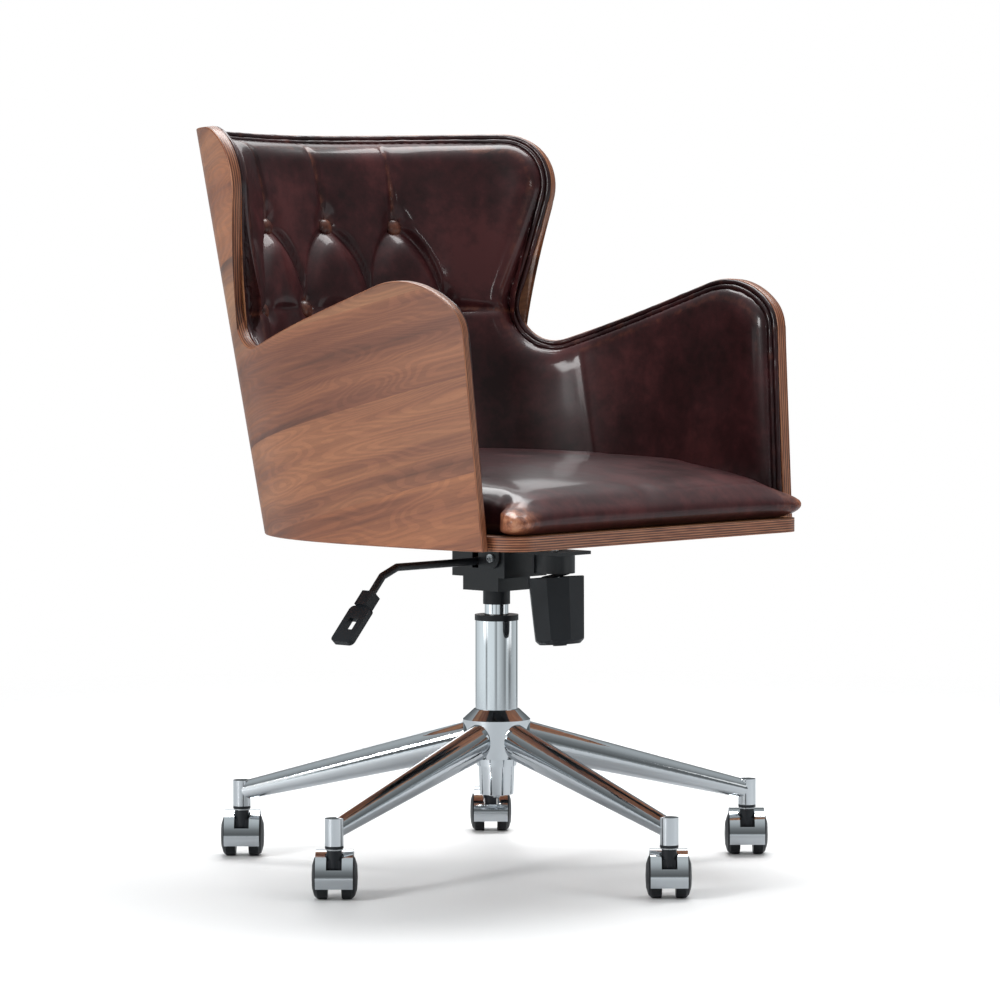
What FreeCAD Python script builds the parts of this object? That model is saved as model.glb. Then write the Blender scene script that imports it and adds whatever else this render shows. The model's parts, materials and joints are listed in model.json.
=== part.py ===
import FreeCAD, Part
import math
import os

# Swivel office chair: bentwood shell with a padded lining, tilt mechanism, gas lift and five-star base.
# Units are millimetres. +Z is up, the origin is on the floor under the column, the chair faces -Y.

V = FreeCAD.Vector

# ---- driving dimensions: casters ----
wheel_r = 25.0
wheel_gap = 16.0               # clear space between the two wheels
wheel_tread_w = 12.5
wheel_dome_w = 5.4
wheel_edge = 1.2               # chamfer of the wheel's inner rim
axle_r = 3.0
trail = 14.0                   # stem axis to axle, measured level
caster_heading = 42.4          # direction the wheels trail in, degrees from +X
stem_r = 5.0
hood_gap = 3.2
hood_wall = 2.6
hood_overhang = 0.7            # hood past the wheel's tread on each side
hood_front_drop = 20.0         # degrees the hood reaches below the axle in front
hood_back_lift = 25.0          # degrees the hood ends above the axle at the back
boss_r = 8.5
boss_low_z = wheel_r + 13.0
web_high_z = boss_low_z + 8.0
web_low_z = boss_low_z - 4.0
web_half_h, web_reach = 6.0, 8.0   # the web's end, about the axle and past it
disc_r = 10.0                  # bearing disc round the axle
body_play = 0.5                # caster body to wheel, on each face
caster_top_z = 2.0 * wheel_r + hood_gap + hood_wall + 1.4
stem_flange_h = 1.3
stem_low_z = boss_low_z + 4.0

# ---- driving dimensions: column and hub ----
column_r = 25.0
column_wall = 2.5
column_top_z = 294.0
column_bottom_z = 88.0
column_taper = 4.0             # radius lost from the hub's top to the column's foot
column_step = 1.0              # radius lost where the column enters the hub
column_floor_h = 3.0
bush_length = 60.0
ring_h = 6.5
ring_lip = 0.8
hub_bottom_z, hub_top_z = 122.0, 189.0
hub_ring_h, hub_cone_h = 10.0, 12.0
hub_ring_r = column_r - 1.5
hub_r = column_r + 13.0
hub_belly = 2.0                # radius gained from the hub's ring to its cone
hub_top_r = column_r + 2.0

# ---- driving dimensions: legs ----
leg_count = 5
stem_circle_r = 320.0          # column axis to caster stem axis
base_turn = 43.7               # angle of the first leg from +X, degrees
leg_root_h, leg_root_w = 44.0, 32.0
leg_tip_h, leg_tip_w = 23.0, 20.0
leg_wall = 2.0
leg_bite = 8.0                 # how far the leg's loft starts inside the hub
insert_collar_h = 3.0
socket_r = 10.5                # vertical tube at the leg's tip
socket_bottom_z = caster_top_z + stem_flange_h + insert_collar_h + 0.5
socket_top_z = socket_bottom_z + 31.0
leg_root_z, leg_tip_z = 154.0, socket_bottom_z + 18.0
insert_r = 8.5
insert_top_z = socket_bottom_z + 24.0
stem_top_z = insert_top_z - 2.0

# ---- driving dimensions: gas lift ----
cylinder_r = 14.0
cylinder_wall = 1.6
cylinder_cap_h = 10.0
cylinder_bottom_z = 131.0
cylinder_top_z = 355.0
slide_fit = 0.05               # running clearance of pins and rods, on the radius
rod_r = 4.0
rod_hole_r = rod_r + 0.6
rod_shoulder_r, rod_shoulder_h = 6.5, 8.0
rod_top_z = 318.0
rod_tail = 2.0                 # rod below the retaining clip
piston_h = 14.0
lift_travel = 80.0
bearing_r, bearing_h = 12.0, 6.0
clip_r, clip_h = 9.0, 2.0
axial_play = 0.3               # between the rod's shoulder or clip and what it bears on
sleeve_wall = 2.0
sleeve_bottom_z = 313.0
button_r = 3.5
button_deep = 9.0              # release button below the cylinder's top
lever_press = 0.4              # rest gap between the lever's nose and the button

# ---- driving dimensions: tilt mechanism ----
housing_half_w = 37.0
housing_wall = 3.0
housing_back_y, housing_front_y = 37.0, -46.0
housing_bottom_z, housing_top_z = 347.0, 380.0
foot_half = 28.0
foot_bottom_z = 330.0
tongue_front_y = -124.0
tongue_half_w = 27.0
tongue_t = 4.0
pivot_y, pivot_z, pivot_r = -28.0, 370.0, 5.0
pin_end = 2.5                  # pivot pin past each ear
ear_t, ear_gap = 3.0, 0.4
ear_half_l = 12.0
plate_t = 3.0
plate_half_w = 88.0
plate_front_y, plate_back_y = -190.0, 46.0
waist_in, waist_from_end = 26.0, 52.0
bolt_x, bolt_front_y, bolt_back_y = 75.0, -176.0, 30.0
bolt_r, bolt_head_r, bolt_head_h = 3.0, 5.5, 4.0
bolt_short = 4.0               # the bolt's end and the nut's below and above the board's faces
tnut_r, tnut_flange_r, tnut_flange_h = 4.0, 9.0, 1.5
tension_y = -90.0              # where the tension bolt leaves the seat plate
tension_lean = 4.5             # degrees its lower end leans forward
tension_bolt_r = 5.0
tension_hole_r = 9.5           # clears the bolt through the whole tilt
bolt_weld_r, bolt_weld_h = 9.0, 3.0
cup_r, cup_wall, cup_h = 24.0, 2.5, 22.0
knob_top_r, knob_bottom_r, knob_wall = 34.5, 30.0, 4.2
knob_top_drop, knob_length = 46.0, 78.0
knob_flats = 8
knob_floor = 14.0
knob_skin = 2.0                # closed end below the thread
knob_travel = 3.75             # rise from loose to tight
bolt_end_gap = 1.0             # bolt's end above the closed end with the knob tight
knob_round = 6.0               # height of the turned edge at the knob's bottom
knob_inner_taper = 2.5
knob_cap_r, knob_cap_h = 8.0, 2.0
spring_r, spring_wire_r, spring_turns = 16.0, 2.2, 6
spring_rest = 0.2              # coil above the washer
spring_head = 1.6              # coil below the cup's roof
washer_r, washer_t = 20.0, 1.6
lever_y, lever_z, lever_r = 0.0, 365.0, 4.5
lever_nose = 6.0               # rod past the column's axis, over the button
lever_slot_down = 3.0          # room below the rod in the housing's side
lever_pin_x, lever_pin_r = -26.0, 2.0
tab_half_l, tab_t, tab_gap = 5.0, 2.5, 0.4   # two tabs that hold the lever's pin
lever_bend_x = -170.0
lever_mid_x, lever_mid_z = -194.0, 356.0
lever_end_x, lever_end_z = -222.0, 326.0
paddle_length, paddle_w, paddle_t = 58.0, 32.0, 7.0
paddle_neck, paddle_grip = 14.0, 6.0   # neck behind the rod's end, blade's start ahead of it
paddle_side_in, paddle_skin = 7.0, 2.5
paddle_round = 6.0
slot_from, slot_to, slot_side_in = 24.0, 40.0, 9.0

# ---- driving dimensions: seat and shell ----
shell_bottom_z, shell_top_z = 398.0, 872.0
shell_half_w = 283.0           # plan half-width at the bottom
shell_half_l = 330.0           # plan half-length at the bottom
shell_centre_y = -90.0
plan_power = 2.7               # exponent of the plan's superellipse
plan_steps = 72
side_flare = 0.0445            # half-width gained per unit of height
back_flare = 0.10              # half-length gained per unit of height
back_lean = 0.125              # backward shift per unit of height
ply_t = 12.5
board_t = 16.0
board_front_y, board_step_y = -261.0, -205.0
board_side_in = 26.0           # step's side, inside the shell's half-width
board_corner_r = 35.0
lap = 5.0                      # overlap of solids that are fused
fit_gap = 0.3                  # soft solids and loose fits
liner_side_t, liner_back_t = 17.0, 32.0
liner_edge_in = 9.0            # how far the lining stops short of the plywood's edge
liner_seam_y = 125.0           # seam between the back panel and the two arm panels
cushion_front_y, cushion_step_y = -265.0, -231.0
cushion_side_in = 22.0
cushion_gap = 0.9              # cushion to lining
cushion_front_h, cushion_mid_h, cushion_back_h = 40.0, 62.0, 72.0
cushion_mid_y, cushion_back_y = -100.0, 140.0
cushion_nose, cushion_corner_r = 16.0, 30.0
button_cap_r, button_cap_h, button_dome = 10.0, 6.0, 0.55
button_rows = ((752.0, (-120.0, 0.0, 120.0)), (657.0, (-180.0, -60.0, 60.0, 180.0)))

# side view of the shell's edge as (y, z, fillet radius), from the arm's foot to the back's top
shell_outline = (
    (-226.0, shell_bottom_z, 0.0),
    (-207.0, 656.0, 45.0),
    (-144.4, 708.4, 110.0),
    (202.0, 594.0, 45.0),
    (139.0, shell_top_z, 67.0),
    (430.0, shell_top_z, 0.0),
    (430.0, shell_bottom_z, 0.0),
)

# heights that follow from the ones above
plate_low_z = shell_bottom_z - plate_t
board_top_z = shell_bottom_z + board_t
column_floor_z = column_bottom_z + column_floor_h
knob_top_z = plate_low_z - knob_top_drop
knob_low_z = knob_top_z - knob_length
far = 500.0                    # past every face, for cutting

os.makedirs("parts", exist_ok=True)


def save(name, *solids):
    """Write one node, made of one solid or a group of separate solids."""
    shape = solids[0] if len(solids) == 1 else Part.makeCompound(list(solids))
    shape.exportStep("parts/" + name + ".step")
    print(name, round(sum(s.Volume for s in shape.Solids) / 1000.0, 2), "cm3", len(shape.Solids))


def cylinder(radius, z_low, z_high, x=0.0, y=0.0):
    """Upright cylinder between two heights."""
    return Part.makeCylinder(radius, z_high - z_low, V(x, y, z_low), V(0, 0, 1))


def tube(outer, inner, z_low, z_high, x=0.0, y=0.0):
    return cylinder(outer, z_low, z_high, x, y).cut(cylinder(inner, z_low - 1, z_high + 1, x, y))


def box(low, high):
    return Part.makeBox(high[0] - low[0], high[1] - low[1], high[2] - low[2], V(*low))


def turned(points):
    """Solid turned about Z from a closed profile of (radius, height) points."""
    wire = Part.makePolygon([V(r, 0, z) for r, z in points] + [V(points[0][0], 0, points[0][1])])
    return Part.Face(wire).revolve(V(0, 0, 0), V(0, 0, 1), 360)


def rounded(points):
    """Closed wire in the YZ plane through corners (y, z, radius), with tangent arcs."""
    corners = [V(0, y, z) for y, z, radius in points]
    turns = []                 # where each corner's arc starts and stops, and the arc if there is one
    for i, here in enumerate(corners):
        radius = points[i][2]
        if radius <= 0:
            turns.append((here, here, None))
            continue
        before = (corners[i - 1] - here).normalize()
        after = (corners[(i + 1) % len(corners)] - here).normalize()
        half = before.getAngle(after) / 2.0
        start, stop = here + before * (radius / math.tan(half)), here + after * (radius / math.tan(half))
        crest = here + (before + after).normalize() * (radius / math.sin(half) - radius)
        turns.append((start, stop, Part.Arc(start, crest, stop).toShape()))
    edges = []
    for i, (start, stop, arc) in enumerate(turns):
        if arc:
            edges.append(arc)
        edges.append(Part.LineSegment(stop, turns[(i + 1) % len(turns)][0]).toShape())
    return Part.Wire(edges)


def upright_edges(solid, front_y):
    """Upright edges of a box that stand on its front face."""
    return [e for e in solid.Edges if abs(e.tangentAt(e.FirstParameter).z) > 0.9
            and e.CenterOfMass.y < front_y + 1.0]


# ---- shell geometry shared by the shell, the board and the upholstery ----

def plan_sizes(z):
    """Half-width, half-length and centre of the shell's plan at height z."""
    rise = z - shell_bottom_z
    return (shell_half_w + side_flare * rise, shell_half_l + back_flare * rise,
            shell_centre_y + back_lean * rise)


def plan_wire(z, side_in, back_in):
    """Superellipse plan of the shell at height z, drawn in by a wall at the sides and the back."""
    half_w, half_l, centre = plan_sizes(z)
    points = []
    for i in range(plan_steps):
        t = 2.0 * math.pi * i / plan_steps
        c, s = math.cos(t), math.sin(t)
        x = math.copysign(abs(c) ** (2.0 / plan_power), c) * (half_w - side_in)
        y = math.copysign(abs(s) ** (2.0 / plan_power), s) * (half_l - back_in)
        points.append(V(x, centre + y, z))
    curve = Part.BSplineCurve()
    curve.interpolate(points, PeriodicFlag=True)
    return Part.Wire([curve.toShape()])


def flared(side_in, back_in, past):
    """Solid inside the flared shell surface, drawn in, reaching past the shell's foot and top."""
    return Part.makeLoft([plan_wire(shell_bottom_z - past, side_in, back_in),
                          plan_wire(shell_top_z + past, side_in, back_in)], True, True)


def flared_wall(side_in, back_in, side_t, back_t):
    """Wall of the flared surface, starting inside it by side_in and back_in."""
    return flared(side_in, back_in, 20.0).cut(flared(side_in + side_t, back_in + back_t, 40.0))


def outline_prism(inset=0.0):
    """The shell's side-view area, drawn in from its edge, carried across the chair."""
    face = Part.Face(rounded(shell_outline))
    if inset:
        face = Part.Face(face.makeOffset2D(-inset).OuterWire)
    prism = face.extrude(V(2 * far, 0, 0))
    prism.translate(V(-far, 0, 0))
    return prism


def liner_front(z, x):
    """Y of the lining's front face on the back, at height z and side position x."""
    half_w, half_l, centre = plan_sizes(z)
    share = 1.0 - abs(x / (half_w - ply_t - fit_gap - liner_side_t)) ** plan_power
    return centre + (half_l - ply_t - fit_gap - liner_back_t) * share ** (1.0 / plan_power)


# ---- base: hub, legs, inserts, column ----

def column_radius(z):
    """Outside radius of the column where it tapers through the hub."""
    share = (hub_top_z - z) / (hub_top_z - column_bottom_z)
    return column_r - column_step - column_taper * share


def make_hub():
    top, low = hub_top_z, hub_bottom_z
    return turned([
        (column_radius(low), low), (hub_ring_r, low), (hub_ring_r, low + hub_ring_h),
        (hub_r, low + hub_ring_h), (hub_r + hub_belly, top - hub_cone_h), (hub_top_r, top),
        (column_radius(top), top),
    ])


def oval(radius_out, z, height, width):
    """Upright oval section across a leg that runs along +X."""
    centre = V(radius_out, 0, z)
    curve = Part.Ellipse(centre + V(0, 0, height / 2.0), centre + V(0, width / 2.0, 0), centre)
    return Part.Wire([curve.toShape()])


def leg_loft(start, wall):
    """Tapered oval bar along +X, thinner by a wall on every side."""
    return Part.makeLoft([oval(start, leg_root_z, leg_root_h - 2 * wall, leg_root_w - 2 * wall),
                          oval(stem_circle_r, leg_tip_z, leg_tip_h - 2 * wall, leg_tip_w - 2 * wall)],
                         True, True)


def make_leg(hub):
    """Tapered oval tube with a vertical socket tube at its tip, along +X."""
    start = hub_r - leg_bite
    socket = cylinder(socket_r, socket_bottom_z, socket_top_z, stem_circle_r)
    core = cylinder(socket_r, socket_bottom_z, socket_top_z + leg_tip_h, stem_circle_r)
    leg = leg_loft(start, 0).cut(leg_loft(start - 1, leg_wall).cut(core)).fuse(socket).removeSplitter()
    beyond = box((stem_circle_r, -far, 0), (stem_circle_r + far, far, far)).cut(
        cylinder(socket_r, 0, far, stem_circle_r))
    leg = leg.cut(beyond).cut(cylinder(insert_r, 0, insert_top_z, stem_circle_r))
    return leg.cut(Part.makeCompound([hub, cylinder(hub_r - hub_belly, 0, far)]))


def make_insert():
    """Plastic socket insert with its collar, and a running bore for the caster's stem."""
    collar = cylinder(socket_r, socket_bottom_z - insert_collar_h, socket_bottom_z)
    sleeve = cylinder(insert_r, socket_bottom_z, insert_top_z)
    return collar.fuse(sleeve).cut(cylinder(stem_r + slide_fit, 0, far)).removeSplitter()


def make_column():
    """Tube that tapers through the hub, with a floor the lift's rod hangs from."""
    inner_r = column_r - column_wall
    return turned([
        (column_radius(column_bottom_z), column_bottom_z), (column_radius(hub_top_z), hub_top_z),
        (column_r, hub_top_z), (column_r, column_top_z), (inner_r, column_top_z),
        (inner_r, hub_top_z + 2 * column_wall), (column_radius(column_floor_z) - column_wall, column_floor_z),
        (rod_hole_r, column_floor_z), (rod_hole_r, column_bottom_z),
    ])


# ---- casters, built about a stem on the Z axis with the wheels trailing along +X ----

def make_wheel(side):
    """One wheel of the twin, turned about the axle; side is +1 or -1 along Y."""
    inner = wheel_gap / 2.0
    edge = inner + wheel_tread_w
    face = edge + wheel_dome_w
    bore = axle_r + slide_fit
    solid = turned([
        (bore, inner), (wheel_r - wheel_edge, inner), (wheel_r, inner + wheel_edge),
        (wheel_r, edge - wheel_edge),
        (wheel_r * 0.86, edge + wheel_dome_w * 0.45), (wheel_r * 0.55, face - wheel_dome_w * 0.1),
        (wheel_r * 0.2, face), (bore, face),
    ])
    solid.rotate(V(0, 0, 0), V(1, 0, 0), -90 * side)
    solid.translate(V(trail, 0, wheel_r))
    return solid


def across(points, half_w):
    """Plate with an XZ outline, centred on Y."""
    wire = Part.makePolygon([V(x, -half_w, z) for x, z in points + points[:1]])
    return Part.Face(wire).extrude(V(0, 2 * half_w, 0))


def cross_rod(radius, half_w):
    """Rod along Y, centred on the axle."""
    return Part.makeCylinder(radius, 2 * half_w, V(trail, -half_w, wheel_r), V(0, 1, 0))


def make_caster_body(stem, axle):
    """Plastic body: boss round the stem, web and bearing disc, cleared for both wheels."""
    half_gap = wheel_gap / 2.0 - body_play
    web = across([(1 - boss_r, web_low_z), (trail + web_reach, wheel_r - web_half_h),
                  (trail + web_reach, wheel_r + web_half_h), (boss_r, web_high_z), (1 - boss_r, web_high_z)],
                 half_gap)
    boss = cylinder(boss_r, boss_low_z, caster_top_z)
    nose = Part.makeSphere(boss_r, V(0, 0, boss_low_z))
    body = cross_rod(disc_r, half_gap).fuse([web, boss, nose]).removeSplitter()
    room = [Part.makeCylinder(wheel_r + body_play, far, V(trail, side * half_gap, wheel_r), V(0, side, 0))
            for side in (-1, 1)]
    return body.cut(Part.makeCompound(room)).cut(Part.makeCompound([axle, stem]))


def make_hood():
    """Pressed cover over both wheels, open at the back and slotted for the boss."""
    inner_r = wheel_r + hood_gap
    half_w = wheel_gap / 2.0 + wheel_tread_w + hood_overhang
    ring = cross_rod(inner_r + hood_wall, half_w).cut(cross_rod(inner_r, half_w + 1))
    front, back = math.radians(hood_front_drop), math.radians(hood_back_lift)
    sector = across([(trail, wheel_r), (trail - far * math.cos(front), wheel_r - far * math.sin(front)),
                     (trail - far, wheel_r + far), (trail + far, wheel_r + far),
                     (trail + far * math.cos(back), wheel_r + far * math.sin(back))], half_w + 1)
    slot_r = boss_r + fit_gap
    slot = box((-far, -slot_r, boss_low_z - 2.0), (0, slot_r, far))
    return ring.common(sector).cut(Part.makeCompound([cylinder(slot_r, wheel_r, far)])).cut(slot)


def make_caster():
    """Body, pins, hood and the two wheels of one caster."""
    axle = cross_rod(axle_r, wheel_gap / 2.0 + wheel_tread_w + wheel_dome_w - 1.0)
    stem = cylinder(stem_r, stem_low_z, stem_top_z).fuse(
        cylinder(socket_r - 0.8, caster_top_z, caster_top_z + stem_flange_h)).removeSplitter()
    return {"body": [make_caster_body(stem, axle)], "pins": [stem, axle], "hood": [make_hood()],
            "wheel_left": [make_wheel(1)], "wheel_right": [make_wheel(-1)]}


# ---- gas lift ----

def make_cylinder_tube():
    """Pressure tube: the guide at its foot stops the piston at full travel, the button's bore is on top."""
    guide_top_z = rod_top_z - piston_h - lift_travel
    roof_z = cylinder_top_z - cylinder_cap_h
    solid = cylinder(cylinder_r, cylinder_bottom_z, cylinder_top_z).cut(
        cylinder(cylinder_r - cylinder_wall, guide_top_z, roof_z))
    solid = solid.cut(cylinder(rod_r + slide_fit, 0, guide_top_z + 1))
    return solid.cut(cylinder(button_r + slide_fit, roof_z - 1, far))


def make_rod():
    """Piston rod with its shoulder on the thrust bearing and the piston at its top."""
    shoulder = column_floor_z + bearing_h + axial_play
    rod = cylinder(rod_r, column_bottom_z - axial_play - clip_h - rod_tail, rod_top_z)
    collar = cylinder(rod_shoulder_r, shoulder, shoulder + rod_shoulder_h)
    piston = cylinder(cylinder_r - cylinder_wall - 2 * slide_fit, rod_top_z - piston_h, rod_top_z)
    return rod.fuse([collar, piston]).removeSplitter()


# ---- tilt mechanism ----

def lean(shape):
    """Lean a shape built upright about the tension bolt's top end."""
    shape.rotate(V(0, tension_y, plate_low_z), V(1, 0, 0), -tension_lean)
    return shape


def lean_shift(z):
    """How far forward the tension bolt's axis is at height z."""
    return (plate_low_z - z) * math.tan(math.radians(tension_lean))


def lever_pin(radius):
    """Cross pin of the lever, as long as its two tabs."""
    half_l = lever_r + tab_gap + tab_t
    return Part.makeCylinder(radius, 2 * half_l, V(lever_pin_x, lever_y - half_l, lever_z), V(0, 1, 0))


def make_housing():
    """Folded channel with the lift's socket, a front tongue, and a slot and two tabs for the lever."""
    w, wall = housing_half_w, housing_wall
    outer = box((-w, housing_front_y, housing_bottom_z), (w, housing_back_y, housing_top_z))
    inner = box((-w + wall, housing_front_y + wall, housing_bottom_z + wall),
                (w - wall, housing_back_y - wall, housing_top_z + 1))
    foot = box((-foot_half, -foot_half, foot_bottom_z), (foot_half, foot_half, housing_bottom_z))
    tongue = box((-tongue_half_w, tongue_front_y, housing_top_z - tongue_t),
                 (tongue_half_w, housing_front_y, housing_top_z))
    tab_inner = lever_r + tab_gap
    tabs = [box((lever_pin_x - tab_half_l, lever_y + low, housing_bottom_z),
                (lever_pin_x + tab_half_l, lever_y + high, lever_z + tab_half_l))
            for low, high in ((-tab_inner - tab_t, -tab_inner), (tab_inner, tab_inner + tab_t))]
    solid = outer.cut(inner).fuse([foot, tongue] + tabs).removeSplitter()
    solid = solid.cut(lever_pin(lever_pin_r + slide_fit))
    solid = solid.cut(cylinder(cylinder_r, 0, housing_top_z))
    solid = solid.cut(pivot_rod(pivot_r + slide_fit, 2 * w))
    slot = box((-far, lever_y - lever_r - fit_gap, lever_z - lever_r - lever_slot_down),
               (-w + wall + 1, lever_y + lever_r + fit_gap, far))
    hole = cylinder(tension_hole_r, foot_bottom_z, far, 0, tension_y - lean_shift(housing_top_z))
    return solid.cut(Part.makeCompound([slot, hole]))


def pivot_rod(radius, half_l):
    """Rod along the tilt pivot's axis."""
    return Part.makeCylinder(radius, 2 * half_l, V(-half_l, pivot_y, pivot_z), V(1, 0, 0))


def make_cup():
    """Spring cup welded under the tongue."""
    top = housing_top_z - tongue_t
    low = top - cup_h
    y = tension_y - lean_shift(housing_top_z)
    cup = cylinder(cup_r, low, top, 0, y).cut(cylinder(cup_r - cup_wall, low - 1, top - cup_wall, 0, y))
    return cup.cut(cylinder(tension_hole_r, low, top + 1, 0, y))


def bolt_places():
    return [(x, y) for x in (-bolt_x, bolt_x) for y in (bolt_front_y, bolt_back_y)]


def make_seat_plate():
    """Flat plate, waisted at the sides, with two ears for the pivot pin."""
    plate = box((-plate_half_w, plate_front_y, plate_low_z), (plate_half_w, plate_back_y, shell_bottom_z))
    for side in (-1, 1):
        edge = side * plate_half_w
        waist = box((edge - waist_in, plate_front_y + waist_from_end, 0),
                    (edge + waist_in, plate_back_y - waist_from_end, far))
        inner = side * (housing_half_w + ear_gap + ear_t / 2.0) - ear_t / 2.0
        ear = box((inner, pivot_y - ear_half_l, pivot_z), (inner + ear_t, pivot_y + ear_half_l, plate_low_z))
        end = Part.makeCylinder(ear_half_l, ear_t, V(inner, pivot_y, pivot_z), V(1, 0, 0))
        plate = plate.cut(waist).fuse([ear, end])
    plate = plate.removeSplitter().cut(pivot_rod(pivot_r, plate_half_w))
    holes = [cylinder(bolt_r + fit_gap, 0, far, x, y) for x, y in bolt_places()]
    return plate.cut(Part.makeCompound(holes))


def make_knob():
    """Hollow faceted knob that hides the spring, threaded on the tension bolt."""
    def facets(radius, z):
        turns = [2 * math.pi * (i + 0.5) / knob_flats for i in range(knob_flats + 1)]
        return Part.makePolygon([V(radius * math.cos(t), radius * math.sin(t), z) for t in turns])

    body = Part.makeLoft([facets(knob_bottom_r, knob_low_z), facets(knob_top_r, knob_top_z)], True, True)
    body = body.common(turned([
        (0, knob_low_z), (knob_bottom_r - knob_round, knob_low_z), (knob_bottom_r, knob_low_z + knob_round),
        (knob_top_r + knob_round, knob_top_z), (0, knob_top_z)]))
    body = body.cut(turned([
        (0, knob_low_z + knob_floor), (knob_bottom_r - knob_wall - knob_inner_taper, knob_low_z + knob_floor),
        (knob_top_r - knob_wall, knob_top_z + 1), (0, knob_top_z + 1)]))
    body = body.fuse(cylinder(knob_cap_r, knob_low_z - knob_cap_h, knob_low_z)).removeSplitter()
    body = body.cut(cylinder(tension_bolt_r + slide_fit, knob_low_z + knob_skin, knob_top_z))
    body.translate(V(0, tension_y, 0))
    return lean(body)


def make_tension_bolt():
    """Bolt welded to the seat plate, its end inside the knob."""
    end_z = knob_low_z + knob_skin + knob_travel + bolt_end_gap
    bolt = cylinder(tension_bolt_r, end_z, shell_bottom_z, 0, tension_y)
    weld = cylinder(bolt_weld_r, plate_low_z - bolt_weld_h, shell_bottom_z, 0, tension_y)
    above = box((-far, -far, plate_low_z), (far, far, far))
    return lean(bolt.fuse(weld).removeSplitter()).cut(above)


def make_tension_spring():
    """Coil between the cup's roof and the washer on the knob's floor."""
    low = knob_low_z + knob_floor + washer_t + spring_wire_r + spring_rest
    high = housing_top_z - tongue_t - cup_wall - spring_wire_r - spring_head
    helix = Part.makeHelix((high - low) / spring_turns, high - low, spring_r)
    section = Part.Wire([Part.makeCircle(spring_wire_r, V(spring_r, 0, 0), V(0, 1, 0))])
    coil = Part.Wire(helix).makePipeShell([section], True, False)
    coil.translate(V(0, tension_y, low))
    return lean(coil)


def make_spring_washer():
    """Plain washer between the spring and the knob's floor."""
    low = knob_low_z + knob_floor
    return lean(tube(washer_r, tension_bolt_r + slide_fit, low, low + washer_t, 0, tension_y))


def make_lever_rod():
    """Bent rod: nose over the button, straight run to the side, then down to the paddle."""
    places = [V(x, lever_y, z) for x, z in ((lever_nose, lever_z), (lever_bend_x, lever_z),
                                            (lever_mid_x, lever_mid_z), (lever_end_x, lever_end_z))]
    runs = [Part.makeCylinder(lever_r, (b - a).Length, a, b - a) for a, b in zip(places[:-1], places[1:])]
    knees = [Part.makeSphere(lever_r, place) for place in places[1:]]
    return runs[0].fuse(runs[1:] + knees + [lever_pin(lever_pin_r)]).removeSplitter()


def make_paddle(rod):
    """Flat grip pushed over the rod's end, with a slot through it."""
    lean_down = math.degrees(math.atan2(lever_mid_z - lever_end_z, lever_mid_x - lever_end_x))
    half_w, half_t = paddle_w / 2.0, paddle_t / 2.0
    neck_w, neck_t = half_w - paddle_side_in, lever_r + paddle_skin
    neck = box((-paddle_neck, -neck_w, -neck_t), (paddle_grip, neck_w, neck_t))
    blade = box((paddle_grip, -half_w, -half_t), (paddle_length, half_w, half_t))
    blade = blade.makeFillet(paddle_round, upright_edges(blade, far))
    slot = box((slot_from, slot_side_in - half_w, -far), (slot_to, half_w - slot_side_in, far))
    grip = neck.fuse(blade).removeSplitter().cut(slot)
    grip.rotate(V(0, 0, 0), V(0, 1, 0), 180.0 - lean_down)
    grip.translate(V(lever_end_x, lever_y, lever_end_z))
    return grip.cut(rod)


# ---- seat ----

def make_board():
    """Plywood seat board: it fills the shell's foot and steps out in front of it."""
    side_in = ply_t + fit_gap
    fill = Part.Face(plan_wire(shell_bottom_z, side_in, side_in)).extrude(V(0, 0, board_t))
    back = fill.common(box((-far, board_step_y - lap, shell_bottom_z), (far, far, board_top_z)))
    half_w = shell_half_w - board_side_in
    front = box((-half_w, board_front_y, shell_bottom_z), (half_w, board_step_y, board_top_z))
    front = front.makeFillet(board_corner_r, upright_edges(front, board_front_y))
    board = back.fuse(front).removeSplitter()
    for x, y in bolt_places():
        board = board.cut(cylinder(tnut_r, 0, far, x, y))
        board = board.cut(cylinder(tnut_flange_r, board_top_z - tnut_flange_h, far, x, y))
    return board


def make_cushion():
    """Plain block for the seat cushion: it follows the lining and rises to the back."""
    low = board_top_z + fit_gap
    wall = ply_t + fit_gap + cushion_gap
    plan = Part.Face(plan_wire(low, wall + liner_side_t, wall + liner_back_t)).extrude(V(0, 0, far))
    plan = plan.common(box((-far, cushion_step_y - 1.0, low), (far, far, far + low)))
    half_w = shell_half_w - cushion_side_in
    front = box((-half_w, cushion_front_y, low), (half_w, cushion_step_y, low + far))
    front = front.makeFillet(cushion_corner_r, upright_edges(front, cushion_front_y))
    side = rounded(((cushion_front_y, low, 0), (cushion_front_y, low + cushion_front_h, cushion_nose),
                    (cushion_mid_y, low + cushion_mid_h, 0), (cushion_back_y, low + cushion_back_h, 0),
                    (far, low + cushion_back_h, 0), (far, low, 0)))
    wedge = Part.Face(side).extrude(V(2 * far, 0, 0))
    wedge.translate(V(-far, 0, 0))
    return plan.fuse(front).removeSplitter().common(wedge)


def make_buttons():
    """Domed upholstery buttons on the front face of the back lining."""
    caps = []
    half_h = button_cap_h / 2.0
    for z, places in button_rows:
        for x in places:
            slope = (liner_front(z, x + 1.0) - liner_front(z, x - 1.0)) / 2.0
            facing = V(slope, -1, back_lean + back_flare).normalize()
            start = V(x, liner_front(z, x), z) + facing * (2 * fit_gap)
            dome = Part.makeCone(button_cap_r, button_cap_r * button_dome, half_h,
                                 start + facing * half_h, facing)
            caps.append(Part.makeCylinder(button_cap_r, half_h, start, facing).fuse(dome).removeSplitter())
    return caps


def place(solids, angle, turn):
    """Copies of solids turned about Z and carried to a leg's tip."""
    moved = []
    for solid in solids:
        solid = solid.copy()
        solid.rotate(V(0, 0, 0), V(0, 0, 1), turn)
        solid.translate(V(stem_circle_r * math.cos(angle), stem_circle_r * math.sin(angle), 0))
        moved.append(solid)
    return moved


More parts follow.
